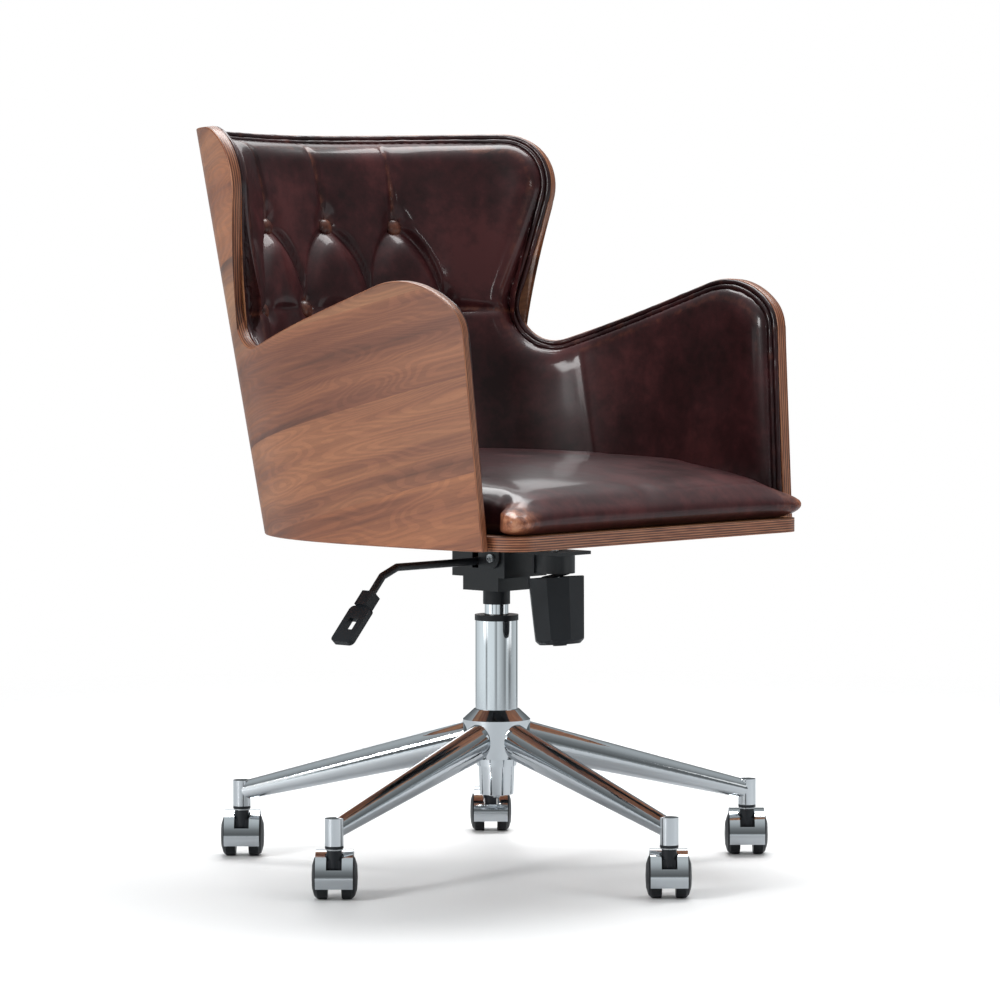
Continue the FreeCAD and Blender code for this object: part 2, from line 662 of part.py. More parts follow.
# ---- build: base ----
hub = make_hub()
save("base_hub", hub)
leg = make_leg(hub)
insert = make_insert()
caster = make_caster()
inserts = []
for number in range(1, leg_count + 1):
    turn = base_turn + (number - 1) * 360.0 / leg_count
    one = leg.copy()
    one.rotate(V(0, 0, 0), V(0, 0, 1), turn)
    save("base_leg_%d" % number, one)
    inserts += place([insert], math.radians(turn), 0)
    for piece, solids in caster.items():
        save("caster_%s_%d" % (piece, number), *place(solids, math.radians(turn), caster_heading))
save("caster_socket_inserts", *inserts)
save("column_tube", make_column())
save("guide_bush", tube(column_r - column_wall, cylinder_r + slide_fit,
                        column_top_z - bush_length, column_top_z))
save("dust_ring", tube(column_r + ring_lip, cylinder_r + 2 * fit_gap, column_top_z, column_top_z + ring_h))
save("thrust_bearing", tube(bearing_r, rod_hole_r, column_floor_z, column_floor_z + bearing_h))

# ---- build: gas lift ----
save("piston_rod", make_rod())
clip_top = column_bottom_z - axial_play
save("retaining_clip", tube(clip_r, rod_r, clip_top - clip_h, clip_top))
save("gas_cylinder", make_cylinder_tube())
save("taper_sleeve", tube(cylinder_r + sleeve_wall, cylinder_r, sleeve_bottom_z, foot_bottom_z))
save("release_button", cylinder(button_r, cylinder_top_z - button_deep, lever_z - lever_r - lever_press))

# ---- build: tilt mechanism ----
save("mechanism_housing", make_housing())
save("spring_cup", make_cup())
save("seat_plate", make_seat_plate())
save("pivot_pin", pivot_rod(pivot_r, housing_half_w + ear_gap + ear_t + pin_end))
save("tension_bolt", make_tension_bolt())
save("tension_spring", make_tension_spring())
save("spring_washer", make_spring_washer())
save("tension_knob", make_knob())
rod = make_lever_rod()
save("lever_rod", rod)
save("lever_paddle", make_paddle(rod))
bolts, nuts = [], []
for x, y in bolt_places():
    head = cylinder(bolt_head_r, plate_low_z - bolt_head_h, plate_low_z, x, y)
    bolts.append(cylinder(bolt_r, plate_low_z, board_top_z - bolt_short, x, y).fuse(head).removeSplitter())
    flange = tube(tnut_flange_r, bolt_r, board_top_z - tnut_flange_h, board_top_z, x, y)
    barrel = tube(tnut_r, bolt_r, shell_bottom_z + bolt_short, board_top_z, x, y)
    nuts.append(barrel.fuse(flange).removeSplitter())
save("seat_bolts", *bolts)
save("board_tnuts", *nuts)

# ---- build: seat ----
save("bentwood_shell", flared_wall(0, 0, ply_t, ply_t).common(outline_prism()))
save("seat_board", make_board())
inner = ply_t + fit_gap
lining = flared_wall(inner, inner, liner_side_t, liner_back_t).common(outline_prism(liner_edge_in))
lining_z = board_top_z + fit_gap
seam_front, seam_back = liner_seam_y - fit_gap / 2.0, liner_seam_y + fit_gap / 2.0
save("lining_back", lining.common(box((-far, seam_back, lining_z), (far, far, 2 * far))))
save("lining_left", lining.common(box((0, -far, lining_z), (far, seam_front, 2 * far))))
save("lining_right", lining.common(box((-far, -far, lining_z), (0, seam_front, 2 * far))))
save("seat_cushion", make_cushion())
save("tufting_buttons", *make_buttons())
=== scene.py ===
import json
import math
import bpy
import bmesh
import numpy as np
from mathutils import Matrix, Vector


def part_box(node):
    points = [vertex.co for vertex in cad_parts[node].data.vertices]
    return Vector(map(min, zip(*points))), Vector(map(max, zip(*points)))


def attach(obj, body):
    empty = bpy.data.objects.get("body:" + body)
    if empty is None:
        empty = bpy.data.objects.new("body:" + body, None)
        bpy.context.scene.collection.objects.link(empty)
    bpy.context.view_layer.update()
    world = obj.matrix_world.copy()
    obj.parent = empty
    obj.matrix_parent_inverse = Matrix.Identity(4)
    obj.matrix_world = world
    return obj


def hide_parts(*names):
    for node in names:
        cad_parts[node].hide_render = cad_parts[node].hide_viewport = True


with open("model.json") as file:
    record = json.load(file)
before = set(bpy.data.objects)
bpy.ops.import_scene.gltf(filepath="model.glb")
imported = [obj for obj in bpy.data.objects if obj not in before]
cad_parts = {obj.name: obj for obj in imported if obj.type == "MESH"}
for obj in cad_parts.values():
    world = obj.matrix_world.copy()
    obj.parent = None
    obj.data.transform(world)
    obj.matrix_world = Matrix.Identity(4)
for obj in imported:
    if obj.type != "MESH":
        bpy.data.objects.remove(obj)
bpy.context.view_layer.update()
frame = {"nodes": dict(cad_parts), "record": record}
nodes = frame["nodes"]
scene = bpy.context.scene
print("frame loaded:", len(nodes), "nodes")


def srgb(code):
    # hex colour to linear light, with alpha 1
    parts = np.array([int(code[i:i + 2], 16) for i in (1, 3, 5)]) / 255.0
    linear = np.where(parts <= 0.04045, parts / 12.92, ((parts + 0.055) / 1.055) ** 2.4)
    return (*linear.tolist(), 1.0)


def wire(tree, node, links):
    # joins sources to a node's sockets, by name or number; a node as source gives its first output
    for key, source in links.items():
        tree.links.new(source.outputs[0] if hasattr(source, "outputs") else source, node.inputs[key])


def addNode(tree, kind, settings=None, links=None):
    # one node with its settings and links; a setting is a socket if the node has one of that name or
    # number, "stops" are a ramp's (place, hex colour or grey number), and the rest are properties
    node = tree.nodes.new(kind)
    for key, value in (settings or {}).items():
        if key == "stops":
            elements = node.color_ramp.elements
            while len(elements) < len(value):
                elements.new(0.5)
            for element, (place, tone) in zip(elements, value):
                element.position = place
                element.color = srgb(tone) if isinstance(tone, str) else (tone, tone, tone, 1)
        elif isinstance(key, int) or key in node.inputs:
            node.inputs[key].default_value = value
        else:
            setattr(node, key, value)
    wire(tree, node, links or {})
    return node


def newMaterial(name, settings):
    # a principled material, emptied to its shader; settings are socket values
    material = bpy.data.materials.new(name)
    material.use_nodes = True
    tree = material.node_tree
    shader = tree.nodes["Principled BSDF"]
    for key, value in settings.items():
        shader.inputs[key].default_value = value
    return material, tree, shader


def paint(piece, *materials):
    # puts materials in a piece's slots, in place of what was there
    piece.data.materials.clear()
    for material in materials:
        piece.data.materials.append(material)


def smoothStep(x):
    # 0 below 0, 1 above 1, and 3x^2 - 2x^3 between
    x = np.clip(x, 0.0, 1.0)
    return x * x * (3 - 2 * x)


def unit(vectors):
    # each vector divided by its length
    return vectors / np.linalg.norm(vectors, axis=-1, keepdims=True)


def runLength(points):
    # length of the line up to each point: the running sum of its steps
    return np.concatenate([[0], np.cumsum(np.linalg.norm(np.diff(points, axis=0), axis=1))])


def gridFaces(rows, columns, first=0, flip=False, wrap=False):
    # quads of a grid whose point (r, c) has the index first + r * columns + c
    across = columns if wrap else columns - 1
    r, c = np.meshgrid(np.arange(rows - 1), np.arange(across), indexing="ij")
    nextC = (c + 1) % columns
    quads = np.stack([r * columns + c, r * columns + nextC, (r + 1) * columns + nextC,
                      (r + 1) * columns + c], axis=-1).reshape(-1, 4) + first
    return quads[:, ::-1] if flip else quads


def makePiece(name, points, faces, body):
    # a mesh piece from points and lists of faces, shaded smooth, riding on a body
    mesh = bpy.data.meshes.new(name)
    allFaces = [f for group in faces for f in (group.tolist() if hasattr(group, "tolist") else group)]
    mesh.from_pydata(np.asarray(points).reshape(-1, 3).tolist(), [], allFaces)
    mesh.validate()
    mesh.update()
    mesh.shade_smooth()
    piece = bpy.data.objects.new(name, mesh)
    scene.collection.objects.link(piece)
    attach(piece, body)
    return piece


def giveValue(piece, name, values):
    # one number for each vertex, read by the material
    layer = piece.data.attributes.new(name, "FLOAT", "POINT")
    layer.data.foreach_set("value", np.asarray(values, np.float32).ravel())


def giveUv(piece, perVertex):
    # the same UV at every corner of a vertex
    layer = piece.data.uv_layers.new(name="UVMap")
    corner = np.empty(len(piece.data.loops), np.int32)
    piece.data.loops.foreach_get("vertex_index", corner)
    layer.data.foreach_set("uv", np.asarray(perVertex, np.float32).reshape(-1, 2)[corner].ravel())


def editMesh(piece, *steps):
    # runs mesh operations on a piece, each given the working mesh
    work = bmesh.new()
    work.from_mesh(piece.data)
    for step in steps:
        step(work)
    work.to_mesh(piece.data)
    work.free()


def mergePoints(work, dist=1e-5):
    # makes points closer than dist one
    bmesh.ops.remove_doubles(work, verts=work.verts, dist=dist)


def faceOutwards(work):
    # turns every face of a closed mesh outwards
    bmesh.ops.recalc_face_normals(work, faces=work.faces)


def mendMesh(piece, smoothAngle, merge=1e-5):
    # merges doubled points, drops flat faces, turns faces outwards and keeps edges over the angle sharp
    editMesh(piece, lambda work: mergePoints(work, merge),
             lambda work: bmesh.ops.dissolve_degenerate(work, edges=work.edges, dist=1e-7), faceOutwards)
    piece.data.shade_smooth()
    piece.data.set_sharp_from_angle(angle=math.radians(smoothAngle))


def applyModifiers(piece):
    # makes what the modifiers give the piece's own mesh
    graph = bpy.context.evaluated_depsgraph_get()
    fresh = bpy.data.meshes.new_from_object(piece.evaluated_get(graph))
    piece.modifiers.clear()
    piece.data = fresh


def readPoints(piece):
    # the piece's points as an array of (x, y, z)
    flat = np.empty(len(piece.data.vertices) * 3)
    piece.data.vertices.foreach_get("co", flat)
    return flat.reshape(-1, 3)


def writePoints(piece, points):
    # puts an array of (x, y, z) back as the piece's points
    piece.data.vertices.foreach_set("co", np.asarray(points, np.float32).ravel())
    piece.data.update()


def sweptTube(path, radius, sideA, sideB, ring):
    # circles of the given radius carried along a path, spanned by two unit directions at each point,
    # with a point at each end so that the tube is closed
    radius = np.broadcast_to(radius, (len(path),))
    angle = np.linspace(0, 2 * np.pi, ring, endpoint=False)
    circle = (np.cos(angle)[None, :, None] * sideA[:, None, :]
              + np.sin(angle)[None, :, None] * sideB[:, None, :])
    points = (path[:, None, :] + circle * radius[:, None, None]).reshape(-1, 3)
    start, stop = len(points), len(points) + 1
    points = np.vstack([points, path[:1], path[-1:]])
    k = np.arange(ring)
    last = (len(path) - 1) * ring
    capA = np.stack([np.full(ring, start), (k + 1) % ring, k], axis=-1)
    capB = np.stack([np.full(ring, stop), last + k, last + (k + 1) % ring], axis=-1)
    return points, [gridFaces(len(path), ring, wrap=True), capA, capB]


def turnedPiece(name, profile, centre, axis, body, steps, smoothAngle):
    # profile of (radius, height) turned about a unit axis; a radius of 0 closes an end
    helper = np.array([1.0, 0, 0]) if abs(axis[0]) < 0.9 else np.array([0, 1.0, 0])
    sideA = unit(np.cross(helper, axis))
    sideB = np.cross(axis, sideA)
    profile = np.asarray(profile, float)
    angle = np.linspace(0, 2 * np.pi, steps, endpoint=False)
    circle = np.cos(angle)[:, None] * sideA + np.sin(angle)[:, None] * sideB
    points = (centre[None, None, :] + profile[:, 0][:, None, None] * circle[None]
              + profile[:, 1][:, None, None] * axis[None, None])
    piece = makePiece(name, points, [gridFaces(len(profile), steps, wrap=True)], body)
    mendMesh(piece, smoothAngle)
    return piece


# leaf sizes, rounding and depth in metres; grainRise is the climb for each metre along the sheet, and the
# rest are shares and strengths
veneerForm = {"leafWidth": 0.1058, "leafStart": 0.3515, "grainRise": 0.228, "riseRound": 0.1, "leafJump": 9.0,
              "ringTurns": 250.0, "streakShare": 0.32, "tintShare": 1.0, "ringShare": 0.75, "poreShare": 0.6,
              "poreBump": 0.15, "poreDepth": 0.0003}
# noise cells per metre along and across the grain, detail and distortion: bands 38 mm apart, streaks
# 4 mm apart and 200 mm long, pores 0.7 mm apart and 11 mm long, and contours 77 mm apart
veneerGrain = {"bands": ((1.6, 26.0, 1.0), 3.0, 0.5), "streaks": ((5.0, 230.0, 1.0), 4.0, 0.0),
               "pores": ((90.0, 1500.0, 1.0), 2.0, 0.0), "contours": ((2.4, 13.0, 1.0), 2.0, 0.3)}
# plies in pairs of 2.8 mm, light and dark; fibres 33 mm long and 1.1 mm apart, on the sheet and on the board
plyForm = {"pair": 0.0028, "plyShare": 0.28, "fibreUV": (30.0, 900.0, 1.0), "fibreObject": (30.0, 30.0, 900.0)}


def makeWalnutVeneer(source):
    # walnut veneer under satin lacquer, IOR 1.5, roughness 0.36 to 0.46: leaves about 106 mm wide along V,
    # each its own brown; pores, streaks, bands, and nested cathedral lines as the sine of the contours;
    # source is UV, in metres on the sheet, or Object
    form = veneerForm
    material, tree, shader = newMaterial("walnutVeneer" + source, {"IOR": 1.5, "Coat Weight": 0.1,
                                                                   "Coat Roughness": 0.3})
    place = addNode(tree, "ShaderNodeTexCoord").outputs[source]
    across = addNode(tree, "ShaderNodeSeparateXYZ", links={"Vector": place}).outputs["Y"]
    fromStart = addNode(tree, "ShaderNodeMath", {"operation": "SUBTRACT", 1: form["leafStart"]}, {0: across})
    leaf = addNode(tree, "ShaderNodeMath", {"operation": "DIVIDE", 1: form["leafWidth"]}, {0: fromStart})
    leafNumber = addNode(tree, "ShaderNodeMath", {"operation": "FLOOR"}, {0: leaf})
    # each leaf takes its grain from another part of the log
    lot = addNode(tree, "ShaderNodeTexWhiteNoise", {"noise_dimensions": "1D"}, {"W": leafNumber})
    jump = addNode(tree, "ShaderNodeVectorMath", {"operation": "SCALE", "Scale": form["leafJump"]},
                   {"Vector": lot.outputs["Color"]})
    shifted = addNode(tree, "ShaderNodeVectorMath", {"operation": "ADD"}, {0: place, 1: jump})
    grain = {}
    for name, (scale, detail, distortion) in veneerGrain.items():
        drawn = addNode(tree, "ShaderNodeMapping", {"Scale": scale}, {"Vector": shifted})
        grain[name] = addNode(tree, "ShaderNodeTexNoise",
                              {"Scale": 1.0, "Detail": detail, "Distortion": distortion}, {"Vector": drawn})
    turns = addNode(tree, "ShaderNodeMath", {"operation": "MULTIPLY", 1: form["ringTurns"]},
                    {0: grain["contours"]})
    rings = addNode(tree, "ShaderNodeMath", {"operation": "SINE"}, {0: turns})
    tone = addNode(tree, "ShaderNodeMath", {"operation": "MULTIPLY_ADD", 1: form["streakShare"]},
                   {0: grain["streaks"], 2: grain["bands"]})
    base = addNode(tree, "ShaderNodeValToRGB", {"stops": [(0.44, "#674434"), (0.58, "#825844"),
                                                          (0.70, "#95694f"), (0.86, "#a87a5c")]},
                   {"Fac": tone})
    ringShade = addNode(tree, "ShaderNodeValToRGB", {"stops": [(0.0, 0.80), (0.22, 0.97), (1.0, 1.0)]},
                        {"Fac": rings})
    # four browns in turn, one for each leaf
    turn = addNode(tree, "ShaderNodeMath", {"operation": "FLOORED_MODULO", 1: 4.0}, {0: leafNumber})
    quarter = addNode(tree, "ShaderNodeMath", {"operation": "MULTIPLY_ADD", 1: 0.25, 2: 0.1}, {0: turn})
    tint = addNode(tree, "ShaderNodeValToRGB",
                   {"stops": [(0.0, "#fbe6d4"), (0.225, "#fbe6d4"), (0.226, "#e4cbbe"), (0.475, "#e4cbbe"),
                              (0.476, "#fff6e6"), (0.725, "#fff6e6"), (0.726, "#ffe2c8")]}, {"Fac": quarter})
    poreShade = addNode(tree, "ShaderNodeValToRGB", {"stops": [(0.32, 0.74), (0.46, 1.0)]},
                        {"Fac": grain["pores"]})
    colour = base.outputs["Color"]
    for layer, share in ((tint, "tintShare"), (ringShade, "ringShare"), (poreShade, "poreShare")):
        colour = addNode(tree, "ShaderNodeMix",
                         {"data_type": "RGBA", "blend_type": "MULTIPLY", 0: form[share]},
                         {6: colour, 7: layer}).outputs[2]
    satin = addNode(tree, "ShaderNodeValToRGB", {"stops": [(0.3, 0.36), (0.7, 0.46)]},
                    {"Fac": grain["streaks"]})
    bump = addNode(tree, "ShaderNodeBump", {"Strength": form["poreBump"], "Distance": form["poreDepth"]},
                   {"Height": grain["pores"]})
    wire(tree, shader, {"Base Color": colour, "Roughness": satin, "Normal": bump})
    return material


def makePlyEdge(source, through):
    # cut edge of bent plywood, sanded and lacquered, IOR 1.5, roughness 0.4: nine plies about 1.4 mm thick,
    # warm orange-brown with darker glue lines, as the sine of the depth on a noise of fibres; through names
    # the channel that runs through the thickness, in metres
    material, tree, shader = newMaterial("plyEdge" + through, {"Roughness": 0.4, "IOR": 1.5,
                                                               "Coat Weight": 0.15, "Coat Roughness": 0.25})
    place = addNode(tree, "ShaderNodeTexCoord").outputs[source]
    depth = addNode(tree, "ShaderNodeSeparateXYZ", links={"Vector": place}).outputs[through]
    turns = addNode(tree, "ShaderNodeMath", {"operation": "MULTIPLY", 1: 2 * math.pi / plyForm["pair"]},
                    {0: depth})
    plies = addNode(tree, "ShaderNodeMath", {"operation": "SINE"}, {0: turns})
    drawn = addNode(tree, "ShaderNodeMapping", {"Scale": plyForm["fibre" + source]}, {"Vector": place})
    fibre = addNode(tree, "ShaderNodeTexNoise", {"Scale": 1.0, "Detail": 3.0}, {"Vector": drawn})
    tone = addNode(tree, "ShaderNodeMath", {"operation": "MULTIPLY_ADD", 1: plyForm["plyShare"]},
                   {0: plies, 2: fibre})
    colour = addNode(tree, "ShaderNodeValToRGB", {"stops": [(0.22, "#3d1f14"), (0.42, "#683a27"),
                                                            (0.6, "#855036"), (0.8, "#9d6a4b")]},
                     {"Fac": tone})
    wire(tree, shader, {"Base Color": colour})
    return material


# noise cells per metre: cloudy tone of 110 mm, mottle of 14 mm, creases of 25 mm and grain of 1.6 mm,
# coarser than real grain so that it shows; depths in metres
leatherForm = {"cloud": 9.0, "mottle": 70.0, "crease": 40.0, "grain": 620.0, "mottleShare": 0.35,
               "grainBump": 0.06, "grainDepth": 0.0002, "creaseBump": 0.14, "creaseDepth": 0.0016}


def makeLeather(name, dark, middle, light):
    # waxed pull-up leather, dark oxblood brown: IOR 1.5, roughness 0.38 to 0.52 under a glossy wax film of
    # roughness 0.12; soft cloudy tone, and copper given by a per-point attribute: where it is rubbed, and as
    # a painted highlight along the lining's pleats and seams
    form = leatherForm
    material, tree, shader = newMaterial(name, {"IOR": 1.5, "Coat Weight": 0.42, "Coat Roughness": 0.12,
                                                "Specular IOR Level": 0.22})
    place = addNode(tree, "ShaderNodeTexCoord").outputs["Object"]
    cloud, mottle, grain, crease = (
        addNode(tree, "ShaderNodeTexNoise", {"Scale": form[key], "Detail": detail, "Roughness": rough},
                {"Vector": place})
        for key, detail, rough in (("cloud", 5.0, 0.6), ("mottle", 4.0, 0.65), ("grain", 1.0, 0.5),
                                   ("crease", 2.0, 0.5)))
    tone = addNode(tree, "ShaderNodeMath", {"operation": "MULTIPLY_ADD", 1: form["mottleShare"]},
                   {0: mottle, 2: cloud})
    base = addNode(tree, "ShaderNodeValToRGB", {"stops": [(0.52, dark), (0.68, middle), (0.84, light)]},
                   {"Fac": tone})
    # per-point copper strength: rubbed wear, and the painted highlight of the lining's creases
    wear = addNode(tree, "ShaderNodeAttribute", {"attribute_name": "wear"}).outputs["Fac"]
    patch = addNode(tree, "ShaderNodeMapRange", {"From Min": 0.35, "From Max": 0.65, "To Min": 0.45,
                                                 "To Max": 1.25}, {"Value": mottle})
    wornAndHighlit = addNode(tree, "ShaderNodeMath", {"operation": "MULTIPLY"}, {0: wear, 1: patch})
    wornAndHighlitMask = addNode(tree, "ShaderNodeValToRGB", {"stops": [(0.10, 0.0), (0.75, 0.9)]}, {"Fac": wornAndHighlit})
    copper = addNode(tree, "ShaderNodeValToRGB", {"stops": [(0.1, "#6b3826"), (0.6, "#a5694c"),
                                                            (1.0, "#c08a6a")]}, {"Fac": wornAndHighlit})
    colour = addNode(tree, "ShaderNodeMix", {"data_type": "RGBA"}, {0: wornAndHighlitMask, 6: base, 7: copper})
    waxed = addNode(tree, "ShaderNodeValToRGB", {"stops": [(0.35, 0.38), (0.7, 0.52)]}, {"Fac": cloud})
    fine = addNode(tree, "ShaderNodeBump", {"Strength": form["grainBump"], "Distance": form["grainDepth"]},
                   {"Height": grain})
    coarse = addNode(tree, "ShaderNodeBump", {"Strength": form["creaseBump"], "Distance": form["creaseDepth"]},
                     {"Height": crease, "Normal": fine})
    wire(tree, shader, {"Base Color": colour.outputs[2], "Roughness": waxed, "Normal": coarse})
    return material


def makeBrightMetal(name, colour, cells, detail, smoothest, roughest):
    # plated steel, metallic 1: its roughness drifts between two values in a haze of so many cells a metre
    material, tree, shader = newMaterial(name, {"Metallic": 1.0, "Base Color": srgb(colour)})
    place = addNode(tree, "ShaderNodeTexCoord").outputs["Object"]
    haze = addNode(tree, "ShaderNodeTexNoise", {"Scale": cells, "Detail": detail}, {"Vector": place})
    wire(tree, shader, {"Roughness": addNode(tree, "ShaderNodeValToRGB",
                                             {"stops": [(0.3, smoothest), (0.75, roughest)]}, {"Fac": haze})})
    return material


def makeBlackPlastic(name, colour, rough, grainMm):
    # moulded nylon or polypropylene, IOR 1.46: a fine spark-eroded grain of grainMm, and roughness that
    # drifts a little about rough in clouds of 33 mm
    material, tree, shader = newMaterial(name, {"IOR": 1.46, "Base Color": srgb(colour)})
    place = addNode(tree, "ShaderNodeTexCoord").outputs["Object"]
    grain = addNode(tree, "ShaderNodeTexNoise", {"Scale": 1000.0 / grainMm, "Detail": 2.0}, {"Vector": place})
    cloud = addNode(tree, "ShaderNodeTexNoise", {"Scale": 30.0, "Detail": 3.0}, {"Vector": place})
    satin = addNode(tree, "ShaderNodeValToRGB", {"stops": [(0.3, rough - 0.05), (0.7, rough + 0.07)]},
                    {"Fac": cloud})
    bump = addNode(tree, "ShaderNodeBump", {"Strength": 0.12, "Distance": 0.0002}, {"Height": grain})
    wire(tree, shader, {"Roughness": satin, "Normal": bump})
    return material


def makeBlackSteel():
    # pressed steel under black powder coat, IOR 1.5, roughness 0.3 to 0.42: satin, orange peel of 1.5 mm
    material, tree, shader = newMaterial("blackPowderCoat", {"IOR": 1.5, "Base Color": srgb("#16191c")})
    place = addNode(tree, "ShaderNodeTexCoord").outputs["Object"]
    peel = addNode(tree, "ShaderNodeTexNoise", {"Scale": 650.0, "Detail": 1.0}, {"Vector": place})
    satin = addNode(tree, "ShaderNodeValToRGB", {"stops": [(0.3, 0.3), (0.7, 0.42)]}, {"Fac": peel})
    bump = addNode(tree, "ShaderNodeBump", {"Strength": 0.15, "Distance": 0.0003}, {"Height": peel})
    wire(tree, shader, {"Roughness": satin, "Normal": bump})
    return material


veneer = makeWalnutVeneer("UV")
boardVeneer = makeWalnutVeneer("Object")
shellEdge = makePlyEdge("UV", "Y")
boardEdge = makePlyEdge("Object", "Z")
leather = makeLeather("oxbloodLeather", "#200c0d", "#341517", "#4a2122")
pipingLeather = makeLeather("pipingLeather", "#1c0b0c", "#2c1214", "#401c1c")
# bright chrome on polished steel: mirror reflections, roughness 0.035 to 0.085 in a faint haze of 38 mm
chrome = makeBrightMetal("chromePlate", "#dfe3e6", 26.0, 3.0, 0.035, 0.085)
# zinc on steel pins and screws: lightly brushed, roughness 0.2 to 0.36 in specks of 2.5 mm
zincSteel = makeBrightMetal("zincSteel", "#c3c6c8", 400.0, 2.0, 0.2, 0.36)
knobPlastic = makeBlackPlastic("mouldedBlackPlastic", "#12161b", 0.42, 0.5)
wheelNylon = makeBlackPlastic("wheelNylon", "#15171a", 0.36, 0.6)
blackSteel = makeBlackSteel()
print("materials made")

slotPaint = {"chrome_plate": chrome, "cylinder_chrome": chrome, "black_plastic": knobPlastic,
             "wheel_nylon": wheelNylon, "bright_steel": zincSteel, "black_steel": blackSteel,
             "walnut_ply": boardEdge, "oxblood_leather": leather}
for part in frame["record"]["subparts"]:
    paint(nodes[part["node"]], slotPaint[part["material_slot"]])


def paintBoard(piece):
    # plies on the board's edge, veneer on its top and underside
    paint(piece, boardEdge, boardVeneer)
    normals = np.empty(len(piece.data.polygons) * 3)
    piece.data.polygons.foreach_get("normal", normals)
    level = np.abs(normals.reshape(-1, 3)[:, 2]) > 0.9
    piece.data.polygons.foreach_set("material_index", level.astype(np.int32))


paintBoard(nodes["seat_board"])
print("CAD pieces painted")

# sizes in metres; sizes named Flare and Lean are metres for each metre of height
shellForm = {"bottom": 0.398, "top": 0.872, "halfWidth": 0.283, "halfLength": 0.330, "centre": -0.090,
             "power": 2.7, "sideFlare": 0.0445, "backFlare": 0.10, "backLean": 0.125, "ply": 0.0125,
             "topDip": 0.005, "dipHalf": 0.30, "dipAbove": 0.86, "edgeRound": 0.0014, "armFrontTop": 0.637,
             "midHeight": 0.62, "columns": 190, "rows": 46, "sharpAngle": 50}
# side view of the edge as (y, z, fillet radius), from the arm's foot to the top of the wing
shellOutline = ((-0.226, 0.398, 0), (-0.207, 0.656, 0.045), (-0.1444, 0.7084, 0.110), (0.202, 0.594, 0.045),
                (0.139, 0.872, 0.067), (0.300, 0.872, 0))


def shellSizes(z):
    # half width, half length and centre of the plan at height z, each growing in step with height
    rise = z - shellForm["bottom"]
    return (shellForm["halfWidth"] + shellForm["sideFlare"] * rise,
            shellForm["halfLength"] + shellForm["backFlare"] * rise,
            shellForm["centre"] + shellForm["backLean"] * rise)


def shellAt(turn, z):
    # outer face at plan angle turn (90 degrees is the middle of the back) and height z: a superellipse
    # in plan whose half sizes and centre grow in step with height; returns points and outward normals
    a, b, centre = shellSizes(z)
    power = shellForm["power"]
    cosT, sinT = np.cos(turn), np.sin(turn)
    nx = np.sign(cosT) * np.abs(cosT) ** (2 / power)
    ny = np.sign(sinT) * np.abs(sinT) ** (2 / power)
    points = np.stack([nx * a, centre + ny * b, np.broadcast_to(z, nx.shape)], axis=-1)
    gx = np.sign(nx) * np.abs(nx) ** (power - 1) / a
    gy = np.sign(ny) * np.abs(ny) ** (power - 1) / b
    gz = -(np.abs(nx) ** power * shellForm["sideFlare"] / a + np.abs(ny) ** power * shellForm["backFlare"] / b
           + gy * shellForm["backLean"])
    normals = np.stack([gx, gy, gz], axis=-1)
    return points, unit(normals)


# arc length along the plan, measured from the middle of the back at mid height, against the plan angle
turnTable = np.radians(np.linspace(90, -40, 4001))
lengthTable = runLength(shellAt(turnTable, np.full(len(turnTable), shellForm["midHeight"]))[0])


def turnAt(along):
    # plan angle at an arc length, read from the table
    return np.interp(np.abs(along), lengthTable, turnTable)


def alongAt(y, z):
    # arc length from the middle of the back to where the side view's y lies on the surface
    _, b, centre = shellSizes(z)
    share = (y - centre) / b
    sinT = np.sign(share) * np.abs(share) ** (shellForm["power"] / 2)
    return np.interp(-np.arcsin(np.clip(sinT, -1, 1)), -turnTable, lengthTable)


def onShell(along, z, inward=0.0):
    # point of the sheet at signed arc length and height, moved inwards along the normal
    points, normals = shellAt(turnAt(along), z)
    side = np.where(along < 0, -1.0, 1.0)[..., None] * np.array([1.0, 0, 0]) + np.array([0, 1.0, 1.0])
    points, normals = points * side, normals * side
    return points - normals * np.asarray(inward)[..., None], normals


def filletPath(corners, step=0.002):
    # points along straight runs and tangent arcs through corners (y, z, radius)
    corner = np.array([c[:2] for c in corners], float)
    path = [corner[0]]
    for i in range(1, len(corners) - 1):
        before = corner[i - 1] - corner[i]
        after = corner[i + 1] - corner[i]
        before /= np.linalg.norm(before)
        after /= np.linalg.norm(after)
        half = math.acos(float(before @ after)) / 2
        radius = corners[i][2]
        start = corner[i] + before * radius / math.tan(half)
        middle = (before + after) / np.linalg.norm(before + after)
        centre = corner[i] + middle * radius / math.sin(half)
        sweep = math.pi - 2 * half
        first = start - centre
        sign = np.sign(before[0] * after[1] - before[1] * after[0]) * -1
        angle = np.linspace(0, sweep, max(int(radius * sweep / step), 3)) * sign
        arc = centre + np.stack([first[0] * np.cos(angle) - first[1] * np.sin(angle),
                                 first[0] * np.sin(angle) + first[1] * np.cos(angle)], axis=-1)
        path.extend(arc)
    path.append(corner[-1])
    path = np.array(path)
    length = runLength(path)
    even = np.linspace(0, length[-1], int(length[-1] / step))
    return np.stack([np.interp(even, length, path[:, 0]), np.interp(even, length, path[:, 1])], axis=-1)


